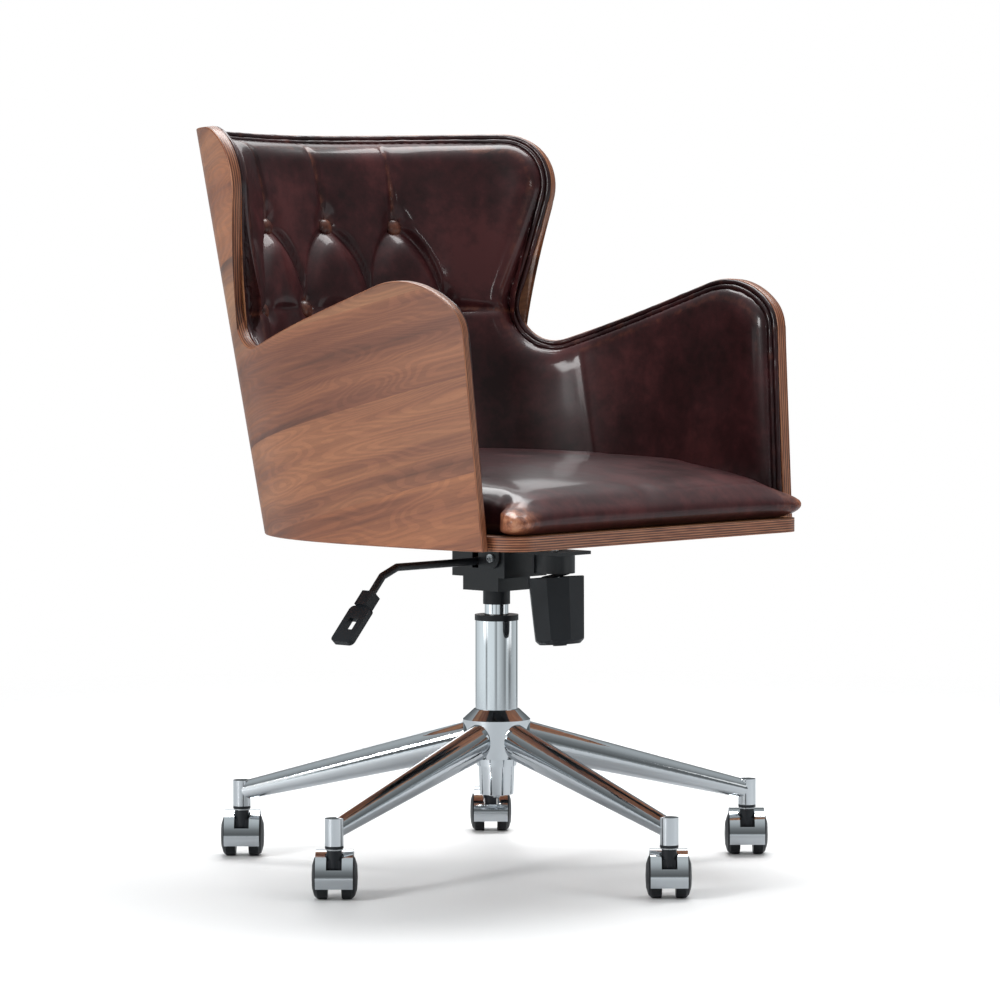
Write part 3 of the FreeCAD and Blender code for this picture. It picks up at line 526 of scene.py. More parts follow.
def edgePath(inset=0.0, step=0.002):
    # the shell's edge on one side as (arc length, height), from the foot to the middle of the top,
    # drawn in from the real edge by inset
    side = filletPath(shellOutline, step)
    along = alongAt(side[:, 0], side[:, 1])
    keep = side[:, 0] < 0.225           # past this the top edge runs on level round the back
    along, height = along[keep], side[keep, 1]
    rest = np.linspace(along[-1], 0, int(along[-1] / step))[1:]
    along = np.concatenate([along, rest])
    height = np.concatenate([height, np.full(len(rest), shellForm["top"])])
    dip = shellForm["topDip"] * smoothStep(1 - along / shellForm["dipHalf"]) * (height > shellForm["dipAbove"])
    height = height - dip
    tangent = unit(np.gradient(np.stack([along, height], axis=-1), axis=0))
    # the sheet lies to the left of the path as it runs up the arm and back along the top; the
    # direction is averaged over nine points
    left = np.stack([-tangent[:, 1], tangent[:, 0]], axis=-1)
    kernel = np.ones(9) / 9
    left = np.stack([np.convolve(np.pad(left[:, k], 4, mode="edge"), kernel, mode="valid") for k in (0, 1)],
                    axis=-1)
    along, height = along + left[:, 0] * inset, height + left[:, 1] * inset
    along[-1] = 0.0
    return np.maximum(along, 0), height


# plan angle in degrees where the ruling from each place on the outline meets the foot
footTurns = {"start": -17.6, "armTop": -4.0, "notch": 25.0, "neck": 42.0, "wing": 61.0, "corner": 73.0,
             "middle": 90.0}


def halfGrid(inset, low, columns, rows):
    # ruled grid over one half of the sheet: rulings run from the bottom edge to the outline, and lean
    # back under the wing so that they never cross it
    along, height = edgePath(inset)
    lean = np.argmax(height > shellForm["armFrontTop"] - inset * 0.5)   # end of the arm's straight front
    along, height = along[lean:], height[lean:]
    length = np.concatenate([[0], np.cumsum(np.hypot(np.diff(along), np.diff(height)))])
    even = np.linspace(0, length[-1], columns)
    topAlong, topHeight = np.interp(even, length, along), np.interp(even, length, height)
    place = np.arange(columns)
    notch = np.argmin(np.where(place > columns * 0.15, topHeight, 9))
    armTop = np.argmax(np.where(place < notch, topHeight, 0))
    neck = notch + np.argmin(topAlong[notch:notch + (columns - notch) // 3])
    wing = neck + np.argmax(topAlong[neck:])
    corner = wing + np.argmax(topHeight[wing:] > topHeight.max() - 0.004)
    keys = [0, armTop, notch, neck, wing, corner, columns - 1]
    foot = np.interp(np.radians(list(footTurns.values())), turnTable[::-1], lengthTable[::-1])
    foot[0] = topAlong[0] if inset == 0 else foot[0] - inset
    foot = np.interp(place, keys, foot)
    # the foot's places are smoothed by a bell over an eighth of the grid, mirrored at its ends
    width = max(columns // 16, 2)
    kernel = np.hanning(2 * width + 3)[1:-1]
    kernel /= kernel.sum()
    padded = np.concatenate([2 * foot[0] - foot[width:0:-1], foot, 2 * foot[-1] - foot[-2:-width - 2:-1]])
    foot = np.convolve(padded, kernel, mode="valid")
    v = np.linspace(0, 1, rows)[None, :]
    gridAlong = foot[:, None] * (1 - v) + topAlong[:, None] * v
    gridHeight = low * (1 - v) + topHeight[:, None] * v
    return gridAlong, gridHeight


def bothSides(along, height):
    # a line or grid of one side and its mirror image: -X side first, then +X, with one shared middle
    return np.concatenate([-along, along[::-1][1:]]), np.concatenate([height, height[::-1][1:]])


def borderOf(rows, columns):
    # indices round a grid: along the top, down the far side, back along the bottom, up the near side
    index = np.arange(rows * columns).reshape(rows, columns)
    return np.concatenate([index[:, -1], index[-1, -2::-1], index[-2::-1, 0], index[0, 1:-1]])


def makeShell():
    # outer and inner faces on one ruled grid, joined round the border by a rounded edge strip
    grid = halfGrid(0.0, shellForm["bottom"], shellForm["columns"], shellForm["rows"])
    along, height = bothSides(*grid)
    ply, rounding = shellForm["ply"], shellForm["edgeRound"]
    rows, columns = along.shape
    outer, normals = onShell(along, height)
    border = borderOf(rows, columns)
    edge, edgeNormal = outer.reshape(-1, 3)[border], normals.reshape(-1, 3)[border]
    out = np.cross(unit(np.roll(edge, -1, axis=0) - np.roll(edge, 1, axis=0)), edgeNormal)
    neighbour = np.empty_like(outer)
    neighbour[:, -1], neighbour[:, 0] = outer[:, -2], outer[:, 1]
    neighbour[0, 1:-1], neighbour[-1, 1:-1] = outer[1, 1:-1], outer[-2, 1:-1]
    side = np.sum((edge - neighbour.reshape(-1, 3)[border]) * out, axis=1)
    out *= np.sign(np.median(side))
    out = unit(out)
    depths = [0.0, 0.15, 0.4, 1.0]      # shares of the rounding, closer together near the face
    profile = [(rounding * d, rounding * (1 - math.sqrt(1 - (1 - d) ** 2))) for d in depths]
    profile = profile + [(ply - d, s) for d, s in profile[::-1]]
    outer.reshape(-1, 3)[border] = edge - out * rounding
    inner = outer - normals * ply
    strip = np.stack([edge - edgeNormal * d - out * s for d, s in profile])
    # the grain climbs away from the middle of the back: a hyperbola, straight further out
    bend = veneerForm["riseRound"]
    rise = veneerForm["grainRise"] * (np.sqrt(along ** 2 + bend ** 2) - bend)
    uvFace = np.stack([along, height - rise], axis=-1)
    run = runLength(edge)
    uvEdge = np.stack([np.stack([run, np.full(len(run), d)], axis=-1) for d, s in profile])
    points = np.vstack([outer.reshape(-1, 3), inner.reshape(-1, 3), strip.reshape(-1, 3)])
    uvs = np.vstack([uvFace.reshape(-1, 2), uvFace.reshape(-1, 2), uvEdge.reshape(-1, 2)])
    half = rows * columns
    count = len(border)
    outerFaces = gridFaces(rows, columns)
    innerFaces = gridFaces(rows, columns, half, flip=True)
    stripFaces = gridFaces(len(profile), count, 2 * half, wrap=True)
    k = np.arange(count)
    nextK = (k + 1) % count
    first = 2 * half
    last = 2 * half + (len(profile) - 1) * count
    joinOuter = np.stack([border[k], border[nextK], first + nextK, first + k], axis=-1)
    joinInner = np.stack([half + border[nextK], half + border[k], last + k, last + nextK], axis=-1)
    faces = [outerFaces, innerFaces, stripFaces, joinOuter, joinInner]
    piece = makePiece("shellPlywood", points, faces, "seat")
    giveUv(piece, uvs)
    paint(piece, veneer, shellEdge)
    slots = np.zeros(len(piece.data.polygons), np.int32)
    slots[len(outerFaces) + len(innerFaces):len(outerFaces) + len(innerFaces) + len(stripFaces)] = 1
    piece.data.polygons.foreach_set("material_index", slots)
    editMesh(piece, faceOutwards)
    piece.data.set_sharp_from_angle(angle=math.radians(shellForm["sharpAngle"]))
    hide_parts("bentwood_shell")


makeShell()
print("shell made")

# thicknesses and places in metres; buttons and pleats are placed by arc length from the middle of the back
liningForm = {"sideThick": 0.017, "backThick": 0.034, "sideFrom": 0.40, "backFrom": 0.20, "rimIn": 0.0128,
              "rimThick": 0.0055, "rollRadius": 0.031, "bottom": 0.4146, "columns": 248, "rows": 186,
              "plyGap": 0.0003, "thinnest": 0.003, "backStep": 5, "sharpAngle": 70}
tuftForm = {"topRow": 0.749, "lowRow": 0.650, "topPlaces": (-0.118, 0.0, 0.118),
            "lowPlaces": (-0.180, -0.060, 0.060, 0.180), "pleatEnds": (-0.140, -0.016, 0.116),
            "pleatTop": 0.864, "pitDeep": 0.019, "pitWide": 0.019, "foldDeep": 0.016, "pleatDeep": 0.0065,
            "seamDeep": 0.006, "foldIn": 0.032, "foldOut": 0.014, "bow": 0.015, "puff": 0.006,
            "leafHalf": 0.060, "blend": 800.0, "foldRound": 0.0018}


def bowedLine(start, stop, bow, count=40):
    # a line between two points of the sheet that swings sideways by bow, most of it near its start
    start, stop = np.array(start), np.array(stop)
    t = np.linspace(0, 1, count)[:, None]
    across = np.array([-(stop - start)[1], (stop - start)[0]]) / np.linalg.norm(stop - start)
    return start + (stop - start) * t + across * bow * 5.2 * t * (1 - t) * (1 - 0.35 * t)


def distanceTo(along, height, line):
    # distance on the sheet from each grid point to a line of points, the place along the line, and
    # which side of it the point is on
    best = np.full(along.shape, 9.0)
    place = np.zeros(along.shape)
    side = np.ones(along.shape)
    for i in range(len(line) - 1):
        a, b = line[i], line[i + 1]
        d = b - a
        s = np.clip(((along - a[0]) * d[0] + (height - a[1]) * d[1]) / (d @ d), 0, 1)
        gap = np.hypot(along - a[0] - s * d[0], height - a[1] - s * d[1])
        closer = gap < best
        best = np.where(closer, gap, best)
        place = np.where(closer, (i + s) / (len(line) - 1), place)
        side = np.where(closer, np.sign(d[0] * (height - a[1]) - d[1] * (along - a[0])), side)
    return best, place, side


def buttonPlaces():
    # arc length and height of each button, the top row first
    rows = ((tuftForm["topRow"], tuftForm["topPlaces"]), (tuftForm["lowRow"], tuftForm["lowPlaces"]))
    return [(x, z) for z, places in rows for x in places]


def creases():
    # every pulled or sewn line of the lining: its points, how deep it is at its start and along the
    # rest, how wide the dip is on its left and on its right, and the strength of the copper line along
    # it, which stands for rubbed wear and is also a painted highlight on the fold
    top, low = tuftForm["topRow"], tuftForm["lowRow"]
    deep, seam = tuftForm["foldDeep"], tuftForm["seamDeep"]
    lines = []
    for x, end in zip(tuftForm["topPlaces"], tuftForm["pleatEnds"]):
        # the pleat's copper line, 0.34, is a painted highlight along its ridge
        lines.append((bowedLine((x, top), (end, tuftForm["pleatTop"]), 0.0), deep, tuftForm["pleatDeep"],
                      0.016, 0.009, 0.34))
        for y in tuftForm["lowPlaces"]:
            if abs(abs(x - y) - 0.06) < 0.012:
                turn = 1 if y > x else -1
                reach = (tuftForm["foldIn"], tuftForm["foldOut"])
                lines.append((bowedLine((x, top), (y, low), tuftForm["bow"] * turn), deep, deep * 0.72,
                              *(reach[::-1] if turn > 0 else reach), 0.0))
    places = tuftForm["lowPlaces"]
    for a, b in zip(places[:-1], places[1:]):
        lines.append((bowedLine((a, low), (b, low), 0.0), deep * 0.5, deep * 0.35, 0.026, 0.020, 0.0))
    for side in (-1, 1):
        # the seams' copper lines, 0.35 and 0.10, are part rubbed wear and part painted highlight
        lines.append((bowedLine((side * places[-1], low), (side * 0.37, low + 0.002), 0.0), deep, seam,
                      0.015, 0.015, 0.35))
        lines.append((bowedLine((side * 0.372, 0.60), (side * 0.380, 0.40), 0.0), seam * 0.7, seam * 0.7,
                      0.010, 0.010, 0.10))
    return lines


def liningThickness(along, height, toEdge):
    # padding over the plywood: full thickness falls from the back to the arms and rolls down to the
    # rim as a quarter ellipse; each crease takes away a depth that fades with distance, each button a funnel
    sideFrom, backFrom = liningForm["sideFrom"], liningForm["backFrom"]
    share = smoothStep((sideFrom - np.abs(along)) / (sideFrom - backFrom))
    full = liningForm["sideThick"] + (liningForm["backThick"] - liningForm["sideThick"]) * share
    full = full * (1 - 0.25 * smoothStep((tuftForm["lowRow"] - height) / 0.12) * share)   # thinner low down
    roll = np.clip(toEdge / liningForm["rollRadius"], 0, 1)
    rim = liningForm["rimThick"]
    shape = np.sqrt(np.clip(1 - (1 - roll) ** 2.2, 0, 1))
    dips = [np.zeros_like(full)]
    wear = np.zeros_like(full)
    for line, atStart, later, reachLeft, reachRight, wornAndHighlit in creases():
        gap, place, side = distanceTo(along, height, line)
        # a copper bell across the crease: rubbed wear, and a painted highlight on the fold
        wornAndHighlit = wornAndHighlit * np.exp(-(gap / 0.0035) ** 2)
        gap = np.sqrt(gap ** 2 + tuftForm["foldRound"] ** 2) - tuftForm["foldRound"]
        near = (1 - place) ** 3
        deep = later + (atStart - later) * near
        reach = np.where(side > 0, reachLeft, reachRight) * (1 + 0.5 * near)
        fade = np.clip(1 - gap / reach, 0, 1)
        dips.append(deep * fade ** 2.2)
        wear = np.maximum(wear, wornAndHighlit)
    for x, z in buttonPlaces():
        away = np.hypot(along - x, (height - z) * np.where(height > z, 0.75, 1.0))
        dips.append(tuftForm["pitDeep"] * np.exp(-(away / tuftForm["pitWide"]) ** 1.25))
        wear = np.maximum(wear, 0.45 * np.exp(-(away / 0.012) ** 2))
    # the dips are blended by a soft maximum: the logarithm of the sum of their exponentials
    sharp = tuftForm["blend"]
    stacked = np.stack(dips)
    deepest = stacked.max(axis=0)
    summed = np.exp(sharp * (stacked - deepest)).sum(axis=0)
    dip = deepest + np.log(summed) / sharp - math.log(len(dips)) / sharp
    puff = tuftForm["puff"] * leafShare(along, height)
    thick = rim + (full + puff - np.clip(dip, 0, None) - rim) * shape
    return np.maximum(thick, liningForm["thinnest"]), wear


def leafShare(along, height):
    # swell of each leaf-shaped puff below a top button, as a cosine hill
    top, low = tuftForm["topRow"], tuftForm["lowRow"]
    hill = np.zeros_like(along)
    down = np.clip((top - height) / (top - low), 0, 1)
    for x in tuftForm["topPlaces"]:
        half = tuftForm["leafHalf"] * np.sin(np.pi / 2 * np.clip(down, 0.05, 1)) + 0.012
        across = np.clip(np.abs(along - x) / half, 0, 1)
        hill = np.maximum(hill, np.cos(across * np.pi / 2) ** 2 * np.sin(np.pi * down) ** 0.8)
    return hill


def makeLining():
    # front face of leather over foam, its rim down to the plywood, and a coarse back that closes it
    rim = liningForm["rimIn"]
    along, height = bothSides(*halfGrid(rim, liningForm["bottom"], liningForm["columns"], liningForm["rows"]))
    rows, columns = along.shape
    edgeAlong, edgeHeight = edgePath(rim, 0.0015)
    flat, _ = onShell(along, height)
    # the tiny shift puts the mirrored edge on the -X side where its arc length is 0
    border = np.concatenate([onShell(edgeAlong, edgeHeight)[0], onShell(-edgeAlong - 1e-9, edgeHeight)[0]])
    toEdge = np.full(along.size, 9.0)
    cloud = flat.reshape(-1, 3)
    for k in range(0, len(cloud), 2000):
        block = cloud[k:k + 2000]
        toEdge[k:k + 2000] = np.sqrt(((block[:, None, :] - border[None]) ** 2).sum(-1)).min(1)
    toEdge = toEdge.reshape(along.shape)
    thick, wear = liningThickness(along, height, toEdge)
    ply = shellForm["ply"]
    front, _ = onShell(along, height, ply + thick)
    ring = borderOf(rows, columns)
    onPly, _ = onShell(along, height, ply + liningForm["plyGap"])
    # coarse back: every fifth row and column of the same grid, closed to the rim by thin strips
    step = liningForm["backStep"]
    backRows = np.unique(np.append(np.arange(0, rows, step), rows - 1))
    backColumns = np.unique(np.append(np.arange(0, columns, step), columns - 1))
    back = onPly[np.ix_(backRows, backColumns)]
    count, total = len(ring), rows * columns
    points = np.vstack([front.reshape(-1, 3), onPly.reshape(-1, 3)[ring], back.reshape(-1, 3)])
    k = np.arange(count)
    nextK = (k + 1) % count
    rimFaces = np.stack([ring[k], ring[nextK], total + nextK, total + k], axis=-1)
    backFirst = total + count
    backFaces = gridFaces(len(backRows), len(backColumns), backFirst, flip=True)
    backGridRing = borderOf(len(backRows), len(backColumns))
    wholeIndex = (backRows[:, None] * columns + backColumns[None, :]).reshape(-1)[backGridRing]
    placeInRing = {int(v): i for i, v in enumerate(ring)}
    marks = [placeInRing[int(v)] for v in wholeIndex]
    slivers = []
    for i, mark in enumerate(marks):
        after = marks[(i + 1) % len(marks)]
        span = (after - mark) % count
        run = [total + (mark + j) % count for j in range(span + 1)]
        slivers.append(run + [backFirst + int(backGridRing[(i + 1) % len(marks)]),
                              backFirst + int(backGridRing[i])])
    faces = [gridFaces(rows, columns), rimFaces, backFaces, slivers]
    piece = makePiece("leatherLining", points, faces, "seat")
    # rubbed to copper along the rolled rim, most at the +X wing's top corner
    values = np.zeros(len(points))
    topCorner = np.exp(-((np.abs(along) - 0.27) ** 2 + (height - 0.845) ** 2) / 0.035 ** 2) * (along > 0)
    rubbed = (0.20 + 0.16 * topCorner) * np.exp(-((toEdge - 0.010) / 0.006) ** 2) * (height > 0.6)
    # the creases' copper lines, rubbed wear and painted highlight, together with the rubbed rim
    values[:total] = np.maximum(wear, rubbed).ravel()
    giveValue(piece, "wear", values)
    mendMesh(piece, liningForm["sharpAngle"], 1e-6)
    paint(piece, leather)
    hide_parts("lining_back", "lining_left", "lining_right")


makeLining()
print("lining made")

# each row's name, distance in from the shell's edge and lift off the plywood; the radius wavers as two
# sines, given as height, wavelength and phase
pipingForm = {"rows": (("pipingOuter", 0.0040, 0.0016), ("pipingInner", 0.0100, 0.0040)), "radius": 0.0031,
              "waves": ((0.00022, 0.061, 0.0), (0.00016, 0.023, 1.0)), "ring": 14, "wearRest": 0.05,
              "wearRise": 420, "sharpAngle": 60}


def makePiping():
    # two rows of piped leather between the plywood's edge and the padding: tubes carried along the edge
    form = pipingForm
    for name, inset, lift in form["rows"]:
        along, height = edgePath(inset)
        keep = height > liningForm["bottom"] + 0.001
        along, height = bothSides(along[keep], height[keep])
        path, normals = onShell(along, height, shellForm["ply"] + lift)
        for _ in range(6):          # each pass averages a point with its neighbours
            path[1:-1] = 0.25 * path[:-2] + 0.5 * path[1:-1] + 0.25 * path[2:]
        tangent = unit(np.gradient(path, axis=0))
        across = unit(np.cross(tangent, normals))
        run = runLength(path)
        wave = sum(high * np.sin(run * 2 * np.pi / long + phase) for high, long, phase in form["waves"])
        points, faces = sweptTube(path, form["radius"] + wave, np.cross(across, tangent), across, form["ring"])
        piece = makePiece(name, points, faces, "seat")
        wear = form["wearRest"] + form["wearRise"] * wave
        giveValue(piece, "wear", np.concatenate([np.repeat(wear, form["ring"]), [0, 0]]))
        mendMesh(piece, form["sharpAngle"])
        paint(piece, pipingLeather)


makePiping()

buttonForm = {"radius": 0.0110, "footRadius": 0.0102, "band": 0.0014, "dome": 0.0066, "stand": 0.003,
              "steps": 40, "sharpAngle": 50}


def makeButtons():
    # domed covered buttons sunk into the tufting, turned to face away from the back: a short band and a
    # quarter ellipse, turned about the sheet's normal
    form = buttonForm
    angle = np.linspace(0, np.pi / 2, 12)[1:]
    profile = [(0.0, 0.0), (form["footRadius"], 0.0), (form["radius"], form["band"])]
    profile += [(form["radius"] * math.cos(a), form["band"] + form["dome"] * math.sin(a)) for a in angle]
    for number, (x, z) in enumerate(buttonPlaces(), 1):
        x, z = np.array([x]), np.array([z])
        thick, _ = liningThickness(x, z, np.array([0.2]))
        base, normal = onShell(x, z, shellForm["ply"] + thick + form["stand"])
        axis = -normal[0]
        piece = turnedPiece("tuftButton%d" % number, profile, base[0], axis, "seat", form["steps"],
                            form["sharpAngle"])
        rise = (readPoints(piece) - base[0]) @ axis
        giveValue(piece, "wear", 0.14 + 0.22 * smoothStep(rise / 0.007))
        paint(piece, pipingLeather)
        if number == 1:
            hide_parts("tufting_buttons")


makeButtons()
print("piping and buttons made")

# metres, apart from the cloth's pressure, stiffness and frames and the number of smoothing passes
cushionForm = {"voxel": 0.006, "pressure": 4.0, "stretch": 20, "bend": 0.6, "frames": 20, "cap": 0.010,
               "shrink": 0.005, "smooth": 8, "crown": 0.005, "fall": 0.009, "droop": 0.007, "bulge": 0.006,
               "corner": 0.018, "cornerReach": 0.045, "pleat": 0.0022, "pleatReach": 0.036, "pleatsIn": 0.026,
               "pleatTurns": 9}


def makeCushion():
    # the CAD block, drawn in a little, remeshed and blown up as cloth with every point's travel capped
    form = cushionForm
    mesh = nodes["seat_cushion"].data.copy()
    mesh.name = "seatCushion"
    piece = bpy.data.objects.new("seatCushion", mesh)
    editMesh(piece, mergePoints)
    scene.collection.objects.link(piece)
    low, high = (np.array(v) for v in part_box("seat_cushion"))
    bpy.context.view_layer.objects.active = piece
    remesh = piece.modifiers.new("voxels", "REMESH")
    remesh.mode = "VOXEL"
    remesh.voxel_size = form["voxel"]
    applyModifiers(piece)
    middle = (low + high) / 2
    size = (high - low) / 2
    start = middle + (readPoints(piece) - middle) * (1 - form["shrink"] / size)
    start[:, 2] -= form["shrink"] * 0.8
    writePoints(piece, start)
    cloth = piece.modifiers.new("swell", "CLOTH")
    cloth.settings.use_pressure = True
    cloth.settings.uniform_pressure_force = form["pressure"]
    cloth.settings.effector_weights.gravity = 0
    cloth.settings.tension_stiffness = form["stretch"]
    cloth.settings.compression_stiffness = form["stretch"]
    cloth.settings.bending_stiffness = form["bend"]
    cloth.point_cache.frame_end = form["frames"]
    for number in range(1, form["frames"] + 1):
        scene.frame_set(number)
    applyModifiers(piece)
    scene.frame_set(1)
    moved = readPoints(piece) - start
    far = np.linalg.norm(moved, axis=1, keepdims=True)
    writePoints(piece, start + moved * np.minimum(1, form["cap"] / np.maximum(far, 1e-9)))

    def relax(work):
        # moves each point half way to the middle of its neighbours, a few times over
        for _ in range(form["smooth"]):
            bmesh.ops.smooth_vert(work, verts=work.verts, factor=0.5, use_axis_x=True, use_axis_y=True,
                                  use_axis_z=True)

    editMesh(piece, relax)
    writePoints(piece, shapeCushion(readPoints(piece), low, high))
    refine = piece.modifiers.new("refine", "SUBSURF")
    refine.levels = refine.render_levels = 1
    applyModifiers(piece)
    wearCushion(piece, low, high)
    piece.data.shade_smooth()
    paint(piece, leather)
    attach(piece, "seat")
    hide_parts("seat_cushion")


def shapeCushion(points, low, high):
    # soft crown across the seat, a front that falls and rolls over the board's edge, a flat underside,
    # and pleats as a cosine fan about each of the two front corners
    form = cushionForm
    x, y, z = points.T.copy()
    up = smoothStep((z - low[2]) / 0.03)
    crown = np.clip(1 - (x / high[0]) ** 2, 0, 1) * np.clip(1 - ((y + 0.03) / 0.25) ** 2, 0, 1)
    forward = np.clip((-y - 0.17) / 0.095, 0, 1)
    edge = smoothStep((np.abs(x) - high[0] + 0.09) / 0.09) * smoothStep((-y - 0.08) / 0.12)
    z = z + up * (form["crown"] * crown - form["fall"] * forward ** 2 - form["droop"] * edge)
    middle = np.exp(-((z - low[2] - 0.019) / 0.014) ** 2)
    y = y - form["bulge"] * middle * smoothStep((-y - 0.235) / 0.025)
    away = (np.abs(x) - high[0]) ** 2 + (y - low[1]) ** 2
    corner = np.exp(-away / form["cornerReach"] ** 2) * (0.35 + 0.65 * middle)
    x = x + np.sign(x) * form["corner"] * corner * smoothStep((-y - 0.222) / 0.02)
    y = y - form["corner"] * corner
    z = np.maximum(z, low[2] + 0.0002)
    for side in (-1, 1):
        cornerX, cornerY = side * (high[0] - form["pleatsIn"]), low[1] + form["pleatsIn"]
        away = np.hypot(x - cornerX, y - cornerY)
        angle = np.arctan2(y - cornerY, (x - cornerX) * side)
        fan = np.cos(angle * form["pleatTurns"] + 0.6) * form["pleat"]
        fan = fan * np.exp(-(away / form["pleatReach"]) ** 2) * smoothStep(away / 0.012)
        fan = fan * smoothStep((z - low[2] - 0.004) / 0.01) * (np.abs(x) > high[0] - 0.10)
        x = x + side * fan * np.cos(angle)
        y = y + fan * np.sin(angle)
    return np.stack([x, y, z], axis=-1)


def wearCushion(piece, low, high):
    # rubbed most at the two front corners and a little along the front edge: bells of the distance
    x, y, z = readPoints(piece).T
    wear = np.zeros(len(x))
    for side, strength in ((-1, 0.85), (1, 0.5)):
        away = np.hypot(x - side * (high[0] - 0.005), (y - low[1] - 0.004))
        wear = np.maximum(wear, strength * np.exp(-(away / 0.040) ** 2))
    nose = np.exp(-((y - low[1] - 0.004) / 0.010) ** 2) * smoothStep((z - low[2] - 0.010) / 0.02)
    giveValue(piece, "wear", np.maximum(wear, 0.18 * nose))


makeCushion()
print("cushion made")

studioForm = {"cameraDistance": 5.1, "cameraHeight": 0.725, "cameraAzimuth": 47.6, "pitch": 3.25,
              "lens": 156.2, "sensor": 36, "sideShift": 0.0034, "floorRadius": 2.6, "floorSolid": 0.9,
              "floorColour": "#f6f6f6", "floorMirrored": "#b4b7ba", "roomTint": (0.90, 0.97, 1.0, 1.0)}
# name, metres to the camera's right, away from it, up, width, height, watts, height aimed at
studioLamps = (("keyLamp", -2.2, -2.2, 1.8, 0.7, 1.3, 56, 0.6),
               ("sideLamp", 2.3, -1.6, 1.5, 1.0, 1.6, 15, 0.5),
               ("sparkLamp", 1.5, -2.6, 1.5, 0.16, 0.4, 3.0, 0.7),
               ("overheadLamp", 0.2, 0.9, 2.9, 2.2, 1.4, 92, 0.4),
               ("backLamp", -0.2, 2.4, 1.6, 1.2, 1.6, 9, 0.6),
               ("edgeLamp", 1.9, 1.3, 1.1, 0.4, 1.9, 9, 0.5),
               ("lowLeftCard", -1.7, -0.9, 0.45, 1.0, 0.7, 2.0, 0.3),
               ("lowRightCard", 1.7, -0.5, 0.45, 0.9, 0.7, 1.6, 0.3))
fillLamps = ("sideLamp", "edgeLamp")        # light the chair and aren't mirrored in it
# turn about the column, in degrees from the camera's right, and brightness of the room's low band
roomBands = ((0, 0.5), (38, 0.70), (52, 0.10), (66, 0.60), (104, 0.72), (118, 0.12), (128, 0.66), (175, 0.95),
             (205, 1.0), (213, 0.2), (222, 0.95), (255, 0.9), (268, 0.25), (276, 0.8), (300, 0.5), (318, 0.22),
             (328, 0.75), (345, 0.15), (360, 0.5))


def makeFloor():
    # pale disc that fades out towards its rim
    turn = np.linspace(0, 2 * np.pi, 96, endpoint=False)
    rim = np.stack([np.cos(turn), np.sin(turn), 0 * turn], axis=-1) * studioForm["floorRadius"]
    mesh = bpy.data.meshes.new("studioFloor")
    mesh.from_pydata(rim.tolist(), [], [list(range(len(turn)))])
    floor = bpy.data.objects.new("studioFloor", mesh)
    scene.collection.objects.link(floor)
    # painted board, roughness 0.5; the chair mirrors a dimmer floor than the one in view, as with a
    # small lit sweep
    material, tree, shader = newMaterial("paleFloor", {"Roughness": 0.5})
    mirrored = addNode(tree, "ShaderNodeLightPath").outputs["Is Glossy Ray"]
    colour = addNode(tree, "ShaderNodeValToRGB", {"stops": [(0.0, studioForm["floorColour"]),
                                                            (1.0, studioForm["floorMirrored"])]},
                     {"Fac": mirrored})
    place = addNode(tree, "ShaderNodeTexCoord").outputs["Object"]
    away = addNode(tree, "ShaderNodeVectorMath", {"operation": "LENGTH"}, {0: place}).outputs["Value"]
    fade = addNode(tree, "ShaderNodeMapRange", {"interpolation_type": "SMOOTHSTEP",
                                                "From Min": studioForm["floorSolid"],
                                                "From Max": studioForm["floorRadius"] - 0.1,
                                                "To Min": 1.0, "To Max": 0.0}, {"Value": away})
    wire(tree, shader, {"Base Color": colour, "Alpha": fade})
    paint(floor, material)


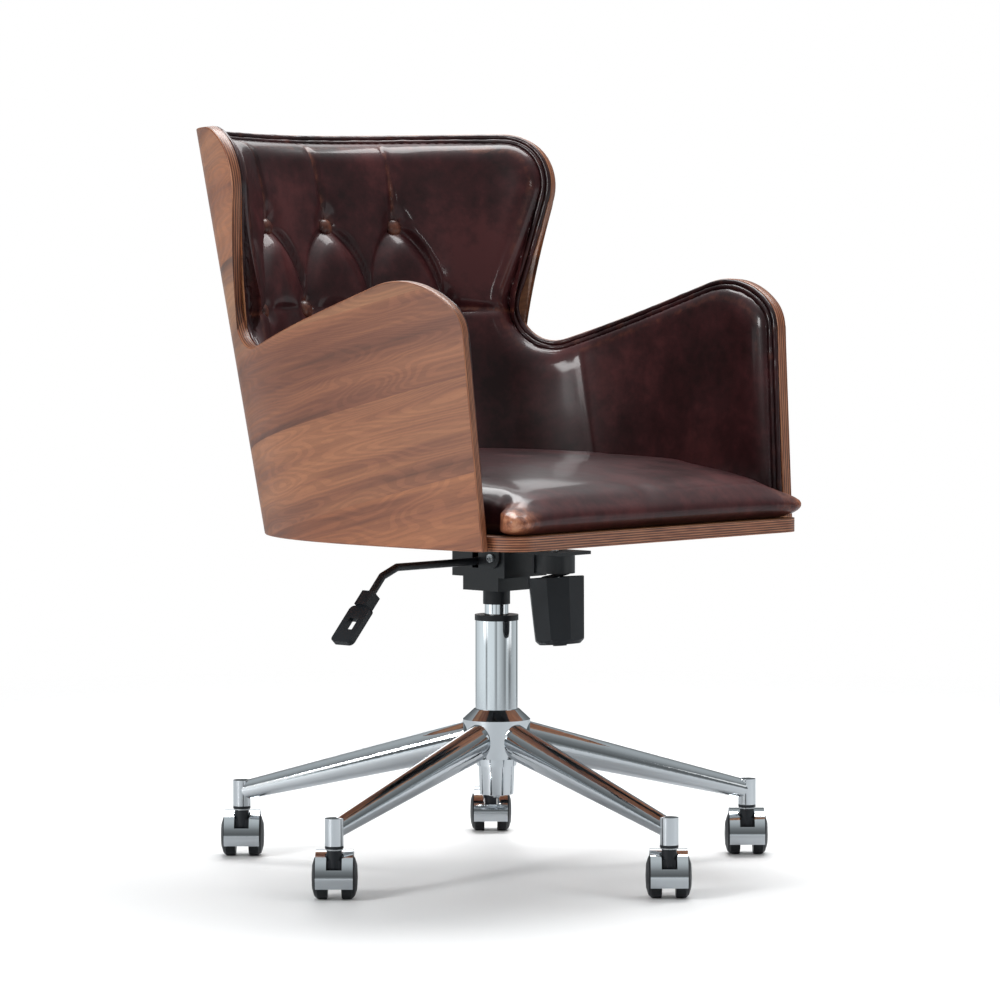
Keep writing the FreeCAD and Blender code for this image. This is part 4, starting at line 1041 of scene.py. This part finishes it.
def makeRoom(azimuth):
    # the room is seen white, and lights the chair as a dim room with a pale ceiling: grey by height above
    # the horizon, and by turn about the column below it
    world = bpy.data.worlds.new("studioWorld")
    scene.world = world
    world.use_nodes = True
    tree = world.node_tree
    direction = addNode(tree, "ShaderNodeTexCoord").outputs["Generated"]
    upward = addNode(tree, "ShaderNodeSeparateXYZ", links={"Vector": direction}).outputs["Z"]
    upper = addNode(tree, "ShaderNodeValToRGB", {"stops": [(0.03, 0.20), (0.12, 0.12), (0.45, 0.22),
                                                           (0.95, 0.6)]}, {"Fac": upward})
    facing = addNode(tree, "ShaderNodeVectorRotate", {"rotation_type": "Z_AXIS", "Angle": azimuth},
                     {"Vector": direction})
    flat = addNode(tree, "ShaderNodeSeparateXYZ", links={"Vector": facing})
    heading = addNode(tree, "ShaderNodeMath", {"operation": "ARCTAN2"},
                      {0: flat.outputs["Y"], 1: flat.outputs["X"]})
    turned = addNode(tree, "ShaderNodeMapRange", {"From Min": -math.pi, "From Max": math.pi, "To Min": 0.5,
                                                  "To Max": 1.5}, {"Value": heading})
    wrapped = addNode(tree, "ShaderNodeMath", {"operation": "FRACT"}, {0: turned})
    bands = addNode(tree, "ShaderNodeValToRGB", {"stops": [(turn / 360, grey) for turn, grey in roomBands]},
                    {"Fac": wrapped})
    above = addNode(tree, "ShaderNodeMapRange", {"From Min": 0.0, "From Max": 0.03, "To Min": 0.0,
                                                 "To Max": 1.0}, {"Value": upward})
    greys = addNode(tree, "ShaderNodeMix", {"data_type": "RGBA"}, {0: above, 6: bands, 7: upper})
    cool = addNode(tree, "ShaderNodeMix", {"data_type": "RGBA", "blend_type": "MULTIPLY", 0: 1.0,
                                           7: studioForm["roomTint"]}, {6: greys.outputs[2]})
    seen = addNode(tree, "ShaderNodeLightPath").outputs["Is Camera Ray"]
    room = addNode(tree, "ShaderNodeMix", {"data_type": "RGBA", 7: (1, 1, 1, 1)},
                   {0: seen, 6: cool.outputs[2]})
    wire(tree, tree.nodes["Background"], {"Color": room.outputs[2]})


def makeLampsAndCamera(azimuth):
    # area lamps placed from where the camera stands, each turned to the column, and the camera
    forward = Vector((math.sin(azimuth), math.cos(azimuth), 0))
    right = Vector((math.cos(azimuth), -math.sin(azimuth), 0))
    for name, side, depth, up, width, height, power, aim in studioLamps:
        lamp = bpy.data.lights.new(name, "AREA")
        lamp.shape = "RECTANGLE"
        lamp.size, lamp.size_y = width, height
        lamp.energy = power
        holder = bpy.data.objects.new(name, lamp)
        holder.visible_glossy = name not in fillLamps
        holder.location = right * side + forward * depth + Vector((0, 0, up))
        toward = Vector((0, 0, aim)) - holder.location
        holder.rotation_euler = toward.to_track_quat("-Z", "Y").to_euler()
        scene.collection.objects.link(holder)
    camera = bpy.data.objects.new("camera", bpy.data.cameras.new("camera"))
    camera.data.lens = studioForm["lens"]
    camera.data.sensor_width = studioForm["sensor"]
    camera.data.shift_x = studioForm["sideShift"]
    camera.location = -forward * studioForm["cameraDistance"] + Vector((0, 0, studioForm["cameraHeight"]))
    camera.rotation_euler = (math.radians(90 - studioForm["pitch"]), 0, -azimuth)
    scene.collection.objects.link(camera)
    scene.camera = camera
    scene.view_settings.view_transform = "Standard"


makeFloor()
makeRoom(math.radians(studioForm["cameraAzimuth"]))
makeLampsAndCamera(math.radians(studioForm["cameraAzimuth"]))
print("studio made")
